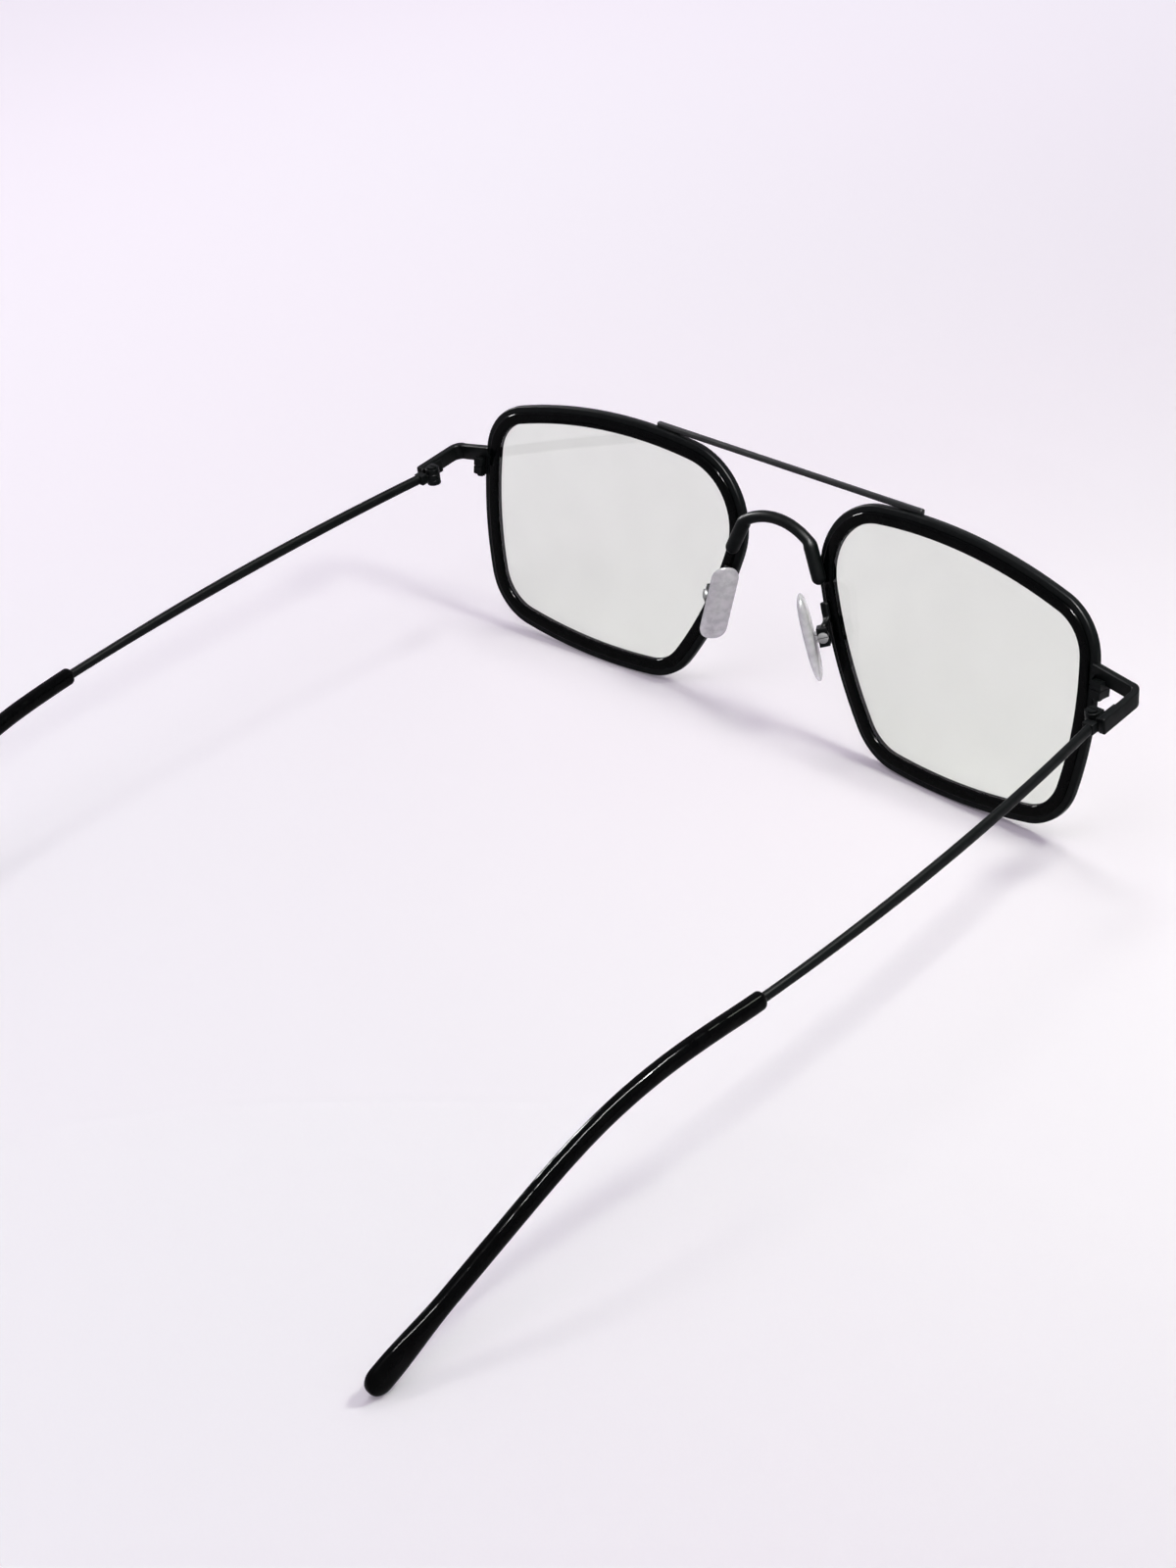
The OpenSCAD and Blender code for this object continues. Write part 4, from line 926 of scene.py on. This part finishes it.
class GLASSES_OT_temples(Operator):
    """Draws each temple's wire and moulds its plastic tip"""
    bl_idname = "glasses.temples"
    bl_label = "Temples"
    roundness = 0.85  # of the sections of wire and tip: 1 is an ellipse and 0 a box

    def execute(self, context):
        scene = context.scene
        sizes, finishes = scene.glasses_temples, scene.glasses_finishes
        placed = hinge_matrix()
        bodies = [f"temple_{side}" for side in SIDES]
        wire, tip_start = self.wire_rings(sizes, placed)
        add_pair("temple_metal", wire, satin_paint(finishes), "frame_metal", "temple_wire",
                 bodies)
        plastic = gloss_plastic("black_tip_plastic", finishes, finishes.tip_plastic,
                                lump_size=0.0042, lump_depth=0.00022)
        add_pair("tip_moulding", self.tip_rings(sizes, placed, tip_start), plastic, "tip_plastic",
                 "temple_tip", bodies)
        return {"FINISHED"}

    def heading(self, inward, drop):
        """Direction along the temple, turned inward and dropped by the two angles."""
        return Vector((-math.sin(inward) * math.cos(drop), math.cos(inward) * math.cos(drop),
                       -math.sin(drop)))

    def ring(self, placed, point, inward, drop, section):
        """The section set square to the heading at a point."""
        side = Vector((math.cos(inward), math.sin(inward), 0))
        top = Vector((-math.sin(inward) * math.sin(drop), math.cos(inward) * math.sin(drop),
                      math.cos(drop)))
        return [placed @ (point + p.x * side + p.y * top) for p in section]

    def wire_rings(self, sizes, placed):
        """Rings along the wire as it swings from its outward to its inward heading."""
        steps = 88
        first, middle, last = sizes.wire_heights
        run = sizes.wire_length - sizes.wire_begin
        point = Vector((sizes.wire_offset + sizes.wire_begin * math.tan(sizes.wire_out),
                        sizes.wire_begin, 0))
        rings = []
        for k in range(steps + 1):
            share = k / steps
            tall = (mix(first, middle, smooth(2 * share)) if share < 0.5
                    else mix(middle, last, smooth(2 * share - 1)))
            inward = mix(-sizes.wire_out, sizes.wire_in, share)
            rings.append(self.ring(placed, point, inward if k else 0, 0,
                                   oval_section(sizes.wire_thickness, tall, self.roundness)))
            onward = mix(-sizes.wire_out, sizes.wire_in, (k + 0.5) / steps)
            if k < steps:
                point = point + run / steps * self.heading(onward, 0)
        return rings, point

    def tip_rings(self, sizes, placed, start):
        """Rings along the tip: rounded mouth, ear bend, and the paddle with its round end."""
        length, fine = sizes.tip_length, 360
        bend_start, bend_end = sizes.bend_span
        near, far = sizes.tip_in

        def inward(share):
            knee = (bend_start + bend_end) / 2
            if share < bend_start:
                return mix(sizes.wire_in, near, share / bend_start)
            return mix(near, far, min(1, (share - bend_start) / (knee - bend_start)))

        def drop(share):
            return sizes.ear_bend * smooth((share - bend_start) / (bend_end - bend_start))

        points = [start]
        for k in range(fine):
            share = (k + 0.5) / fine
            points.append(points[-1] + length / fine * self.heading(inward(share), drop(share)))

        def at(share):
            where = min(fine, max(0.0, share * fine))
            below = min(fine - 1, int(where))
            return points[below].lerp(points[below + 1], where - below)

        end_share = sizes.paddle_height / 2 / length
        paddle_share = sizes.paddle_length / length
        mouth = sizes.mouth_round / length
        lip_turns = [math.radians(a) for a in (20, 35, 50, 65, 80, 90)]
        end_turns = [math.radians(a) for a in range(0, 88, 6)]
        spacing, gap = 1 / 120, 0.004  # between the body's rings, and before the round end
        lip = [(0.0, 0.0)] + [(mouth * (1 - math.cos(a)), math.sin(a)) for a in lip_turns]
        body = [(k * spacing, 1.0) for k in range(2, 120) if k * spacing < 1 - end_share - gap]
        end = [(1 - end_share + end_share * math.sin(a), 1.0) for a in end_turns]
        first_open = 0.35  # share of the full section at the very start of the lip
        thin_end = 0.45  # share of the thickness that is left at the round end
        blunt = 0.003  # keeps the last ring from closing to a point
        rings = []
        for share, opened in lip + body + end:
            round_off = 1.0
            if share > 1 - end_share:
                round_off = math.sqrt(max(blunt, 1 - ((share - 1 + end_share) / end_share) ** 2))
            widen = smooth((share - 1 + paddle_share) / (paddle_share - 1.5 * end_share))
            tall = mix(sizes.tip_height, sizes.paddle_height, widen) * round_off
            thick = sizes.tip_thickness * mix(thin_end, 1, round_off)
            if round_off < 0.5:
                thick *= (smooth(2 * round_off) + 1) / 2
            if opened < 1:
                grown = mix(first_open, 1, opened) if opened else 0
                tall, thick = mix(sizes.bore, tall, grown), mix(sizes.bore, thick, grown)
            section = oval_section(thick, tall, self.roundness if opened else 1.0)
            rings.append(self.ring(placed, at(share), inward(share), drop(share), section))
        return rings


class GLASSES_OT_nose_pads(Operator):
    """Moulds the clear nose pads and finishes their cores, boxes, screws and arms"""
    bl_idname = "glasses.nose_pads"
    bl_label = "Nose pads"

    def execute(self, context):
        scene = context.scene
        sizes, finishes = scene.glasses_pads, scene.glasses_finishes
        opening, rim = scene.glasses_opening, scene.glasses_rims
        front = front_matrix(scene.glasses_hinges)
        nose, _, _ = rim_limits(opening, rim)
        pad = self.pad_matrix(sizes, nose)
        soft = clear_plastic("soft_clear_plastic", finishes.pad, roughness=0.10, ior=1.42,
                             ripple=0.00020, clear=0.5)
        hard = clear_plastic("hard_clear_plastic", finishes.core, roughness=0.05, ior=1.52,
                             ripple=0.00006, clear=0.6)
        bodies = [f"pad_{side}" for side in SIDES]
        add_pair("pad_soft", self.pad_rings(sizes, front @ pad), soft, "pad_plastic", "nose_pad",
                 bodies)
        paint, steel = satin_paint(finishes), screw_steel(finishes)
        small = scene.glasses_hinges.edge_round
        dress("pad_core", hard, small)
        dress("pad_box", paint, small)
        dress("pad_screw", steel, small / 2)
        add_pair("pad_arm_rod", self.arm_rings(sizes, opening, rim, front, pad), paint,
                 "frame_metal", "pad_arm")
        return {"FINISHED"}

    def pad_matrix(self, sizes, nose):
        """Frame of the left pad: X along the screw, Y down the pad, Z out to the nose."""
        down = unit(Vector((math.tan(sizes.flare), -math.tan(sizes.rake), -1)))
        axis = unit(down.cross(Vector((-math.cos(sizes.splay), math.sin(sizes.splay), 0))))
        face = axis.cross(down)
        turned = Matrix((axis, down, face)).transposed().to_4x4()
        return Matrix.Translation(Vector((nose + sizes.inset, sizes.behind, sizes.up))) @ turned

    def pad_rings(self, sizes, placed):
        """Rings along the pad: an oblong outline, crowned to the nose and flatter behind."""
        half, wide, thick = sizes.length / 2, sizes.width / 2, sizes.thickness / 2
        along_steps, round_steps = 48, 40
        crown, flat_back = 0.16, 0.86  # fall of the face to its sides, and depth of the back
        side_power, face_power = 0.8, 0.75  # both flatten the section, as 1 is an ellipse
        end_power, swell_power = 0.9, 3.2  # roundness of the ends, and fullness towards them
        rings = []
        for k in range(1, along_steps):
            along = -half * math.cos(math.pi * k / along_steps)
            past = max(0.0, (abs(along) - (half - wide)) / wide)
            across = wide * math.sqrt(max(0.0, 1 - past ** 2)) ** end_power
            swell = math.sqrt(1 - abs(along / half) ** swell_power)
            ring = []
            for t in full_turn(round_steps):
                x = bowed(math.cos(t), side_power) * across
                z = bowed(math.sin(t), face_power) * thick * swell
                z *= 1 - crown * (x / wide) ** 2 if z > 0 else flat_back
                ring.append(placed @ Vector((x, along, z)))
            rings.append(ring)
        return rings

    def arm_rings(self, sizes, opening, rim, front, pad):
        """Rod of the arm: a flat foot on the back of the rim, a curl, and an end in the box."""
        centre, radius, _, _ = side_arcs(opening)[3]
        reach = radius + (rim.ring_width - rim.wire_seat + rim.wire_width) / 2
        c, s = math.cos(opening.wrap), math.sin(opening.wrap)

        def on_rim(height):
            u = centre.x - math.sqrt(reach ** 2 - (height - centre.y) ** 2)
            return Vector((opening.lens_spread + u * c - rim.ring_depth * s,
                           u * s + rim.ring_depth * c, height))

        flattened = 0.75  # thickness of the foot as a share of the rod's
        foot_stops, way_stop = (0, 0.35, 0.7), 0.55  # shares of the foot and of the way to the box
        low = sizes.foot_top - sizes.foot_length
        off = Vector((-sizes.foot_width / 4, flattened * sizes.arm_radius, 0))
        axis, down, face = (pad.to_3x3() @ Vector(v) for v in ((1, 0, 0), (0, 1, 0), (0, 0, 1)))
        rise = sizes.box_height / 2 - sizes.arm_radius
        box = pad.translation + sizes.box_shift * axis - rise * down - sizes.screw_behind * face
        over_foot, over_way = (Vector((0, sizes.curl_behind, up)) for up in sizes.curl_up)
        places = [on_rim(mix(sizes.foot_top, low, share)) + off for share in foot_stops]
        places += [on_rim(low) + off + over_foot, on_rim(low).lerp(box, way_stop) + over_way, box]
        path = curve_through(places, steps=8)
        foot_share, change_share = 0.35, 0.3  # of the path: the flat foot, its change to a rod
        rings = []
        count = len(path)
        for k, point in enumerate(path):
            ahead = unit(path[min(count - 1, k + 1)] - path[max(0, k - 1)])
            back = unit(Vector((0, 1, 0)) - ahead * ahead.y)
            side = ahead.cross(back)
            share = k / (count - 1)
            flat = 1 - smooth((share - foot_share) / change_share)
            wide = mix(2 * sizes.arm_radius, sizes.foot_width, flat)
            thick = 2 * sizes.arm_radius * mix(1, flattened, flat)
            opened = math.sin(math.pi / 2 * min(1, (k + 0.4) / 3))  # rounds the foot's upper end
            section = oval_section(wide * opened, thick * opened, roundness=0.8, count=24)
            rings.append([front @ (point + p.x * side + p.y * back) for p in section])
        return rings


class GLASSES_OT_stage(Operator):
    """Lays the pale floor and sets the lamps, the room light and the camera"""
    bl_idname = "glasses.stage"
    bl_label = "Stage"

    def execute(self, context):
        scene = context.scene
        sizes = scene.glasses_stage
        self.floor(sizes)
        self.room(scene, sizes)
        self.lamp("key_lamp", sizes.key_place, sizes.key_size, sizes.key_power, sizes.key_light,
                  aim=(0, 0, sizes.key_aim))
        self.lamp("window_lamp", sizes.window_place, sizes.window_size, sizes.window_power,
                  sizes.window_light, mirrored=False)
        self.lamp("ceiling_lamp", sizes.ceiling_place, sizes.ceiling_size, sizes.ceiling_power,
                  sizes.ceiling_light)
        self.lamp("glint_lamp_right", sizes.glint_right_place, sizes.glint_right_size,
                  sizes.glint_right_power, sizes.glint_light, lights=False)
        self.lamp("glint_lamp_left", sizes.glint_left_place, sizes.glint_left_size,
                  sizes.glint_left_power, sizes.glint_light, lights=False)
        width, length = sizes.streak_size
        self.lamp("glint_strip", sizes.streak_place, width, sizes.streak_power, sizes.glint_light,
                  aim=(sizes.streak_place[0], sizes.streak_place[1], 0), lights=False,
                  length=length)
        self.camera(scene, sizes)
        scene.view_settings.view_transform = "Standard"
        return {"FINISHED"}

    def floor(self, sizes):
        across = 2 * sizes.floor_reach
        rings = [[Vector((x, y, height)) for x, y in box_corners(across, across)]
                 for height in (0, -sizes.floor_depth)]
        floor = skin_mesh("floor", rings, sharp=30)
        made, tree = start_material("pale_floor")
        warmer = (1.02, 0.985, 1.01)  # how some wide patches of the floor differ
        warm = tuple(c * f for c, f in zip(sizes.floor, warmer))
        cloud = spread_between(tree, grain(tree, size=0.25, detail=1), 0, 1)
        shader = coat(tree, {"Specular IOR Level": 0.0, "Roughness": 1.0,
                             "Base Color": two_tones(tree, cloud, sizes.floor, warm)})
        self.pale_ground(tree, shader, sizes)
        floor.data.materials.append(made)

    def pale_ground(self, tree, shader, sizes):
        """Evens out what is seen of the ground where the main lamp reaches it less."""
        place = add_node(tree, "TexCoord").outputs["Object"]
        under_lamp = (sizes.key_place[0], sizes.key_place[1], 0)
        away = add_node(tree, "VectorMath", {0: place, 1: under_lamp}, operation="DISTANCE")
        pale = spread_between(tree, away.outputs["Value"], sizes.pale_near, sizes.pale_far,
                              sizes.pale_from, sizes.pale_to, interpolation_type="SMOOTHSTEP")
        shown = add_node(tree, "Math", {0: pale, 1: self.seen(tree)}, operation="MULTIPLY")
        glow = add_node(tree, "Emission", {"Color": (*sizes.pale, 1),
                                           "Strength": shown.outputs["Value"]})
        both = add_node(tree, "AddShader", {0: shader.outputs["BSDF"],
                                            1: glow.outputs["Emission"]})
        fill(tree, tree.nodes["Material Output"], {"Surface": both.outputs["Shader"]})

    def seen(self, tree):
        """One for the rays that show a thing to the eye, in a mirror or through glass."""
        path = add_node(tree, "LightPath")
        ray = path.outputs["Is Camera Ray"]
        for other in ("Is Glossy Ray", "Is Transmission Ray"):
            larger = add_node(tree, "Math", {0: ray, 1: path.outputs[other]},
                              operation="MAXIMUM")
            ray = larger.outputs["Value"]
        return ray

    def room(self, scene, sizes):
        """Light from all round, which shows paler to the eye, in mirrors and through glass."""
        world = bpy.data.worlds.new("pale_room")
        world.use_nodes = True
        scene.world = world
        tree = world.node_tree
        strength = spread_between(tree, self.seen(tree), sizes.sky_level, sizes.sky_seen, 0, 1)
        fill(tree, tree.nodes["Background"], {"Color": (*sizes.sky, 1), "Strength": strength})

    def lamp(self, name, place, size, power, colour, aim=(0, 0, 0), lights=True, mirrored=True,
             length=None):
        """An area lamp turned to its aim; one that doesn't light only shows as a glint."""
        data = bpy.data.lights.new(name, "AREA")
        data.shape = "DISK"
        data.size = size
        if length:
            data.shape = "RECTANGLE"
            data.size_y = length
        data.energy = power
        data.color = colour
        data.cycles.max_bounces = 3 if lights else 0
        lamp = bpy.data.objects.new(name, data)
        lamp.location = place
        lamp.rotation_euler = (Vector(aim) - Vector(place)).to_track_quat("-Z", "Y").to_euler()
        lamp.visible_transmission = False  # the lenses already let its light through to the floor
        lamp.visible_diffuse = lights
        lamp.visible_glossy = mirrored
        bpy.context.scene.collection.objects.link(lamp)

    def camera(self, scene, sizes):
        data = bpy.data.cameras.new("camera")
        data.lens = sizes.focal
        data.sensor_width = 36
        data.sensor_fit = "AUTO"
        data.clip_start = 0.01
        camera = bpy.data.objects.new("camera", data)
        right, up = Vector(sizes.camera_right), Vector(sizes.camera_up)
        turned = Matrix((right, up, right.cross(up))).transposed().to_4x4()
        camera.matrix_world = Matrix.Translation(Vector(sizes.camera_place)) @ turned
        scene.collection.objects.link(camera)
        scene.camera = camera


PIECES = (GLASSES_OT_rims, GLASSES_OT_lenses, GLASSES_OT_bridges, GLASSES_OT_end_pieces,
          GLASSES_OT_hinges, GLASSES_OT_temples, GLASSES_OT_nose_pads, GLASSES_OT_stage)
SETTINGS = (("glasses_opening", OpeningSizes), ("glasses_rims", RimSizes),
            ("glasses_bridges", BridgeSizes), ("glasses_hinges", HingeSizes),
            ("glasses_temples", TempleSizes), ("glasses_pads", PadSizes),
            ("glasses_finishes", Finishes), ("glasses_stage", StageSettings))


class GLASSES_PT_panel(Panel):
    """Lists the operators and settings of the eyeglasses"""
    bl_idname = "GLASSES_PT_panel"
    bl_label = "Square eyeglasses"
    bl_space_type = "VIEW_3D"
    bl_region_type = "UI"
    bl_category = "Eyeglasses"

    def draw(self, context):
        column = self.layout.column()
        for piece in PIECES:
            column.operator(piece.bl_idname)
        for name, group in SETTINGS:
            box = column.box()
            box.label(text=name.split("_")[1].capitalize())
            for key in group.__annotations__:
                box.prop(getattr(context.scene, name), key)


def register():
    for _, group in SETTINGS:
        bpy.utils.register_class(group)
    for piece in PIECES:
        bpy.utils.register_class(piece)
    bpy.utils.register_class(GLASSES_PT_panel)
    for name, group in SETTINGS:
        setattr(bpy.types.Scene, name, PointerProperty(type=group))


def unregister():
    for name, _ in SETTINGS:
        delattr(bpy.types.Scene, name)
    bpy.utils.unregister_class(GLASSES_PT_panel)
    for piece in reversed(PIECES):
        bpy.utils.unregister_class(piece)
    for _, group in reversed(SETTINGS):
        bpy.utils.unregister_class(group)


def main():
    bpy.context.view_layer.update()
    register()
    for piece in PIECES:
        area, name = piece.bl_idname.split(".")
        getattr(getattr(bpy.ops, area), name)()


if __name__ == "__main__":
    main()
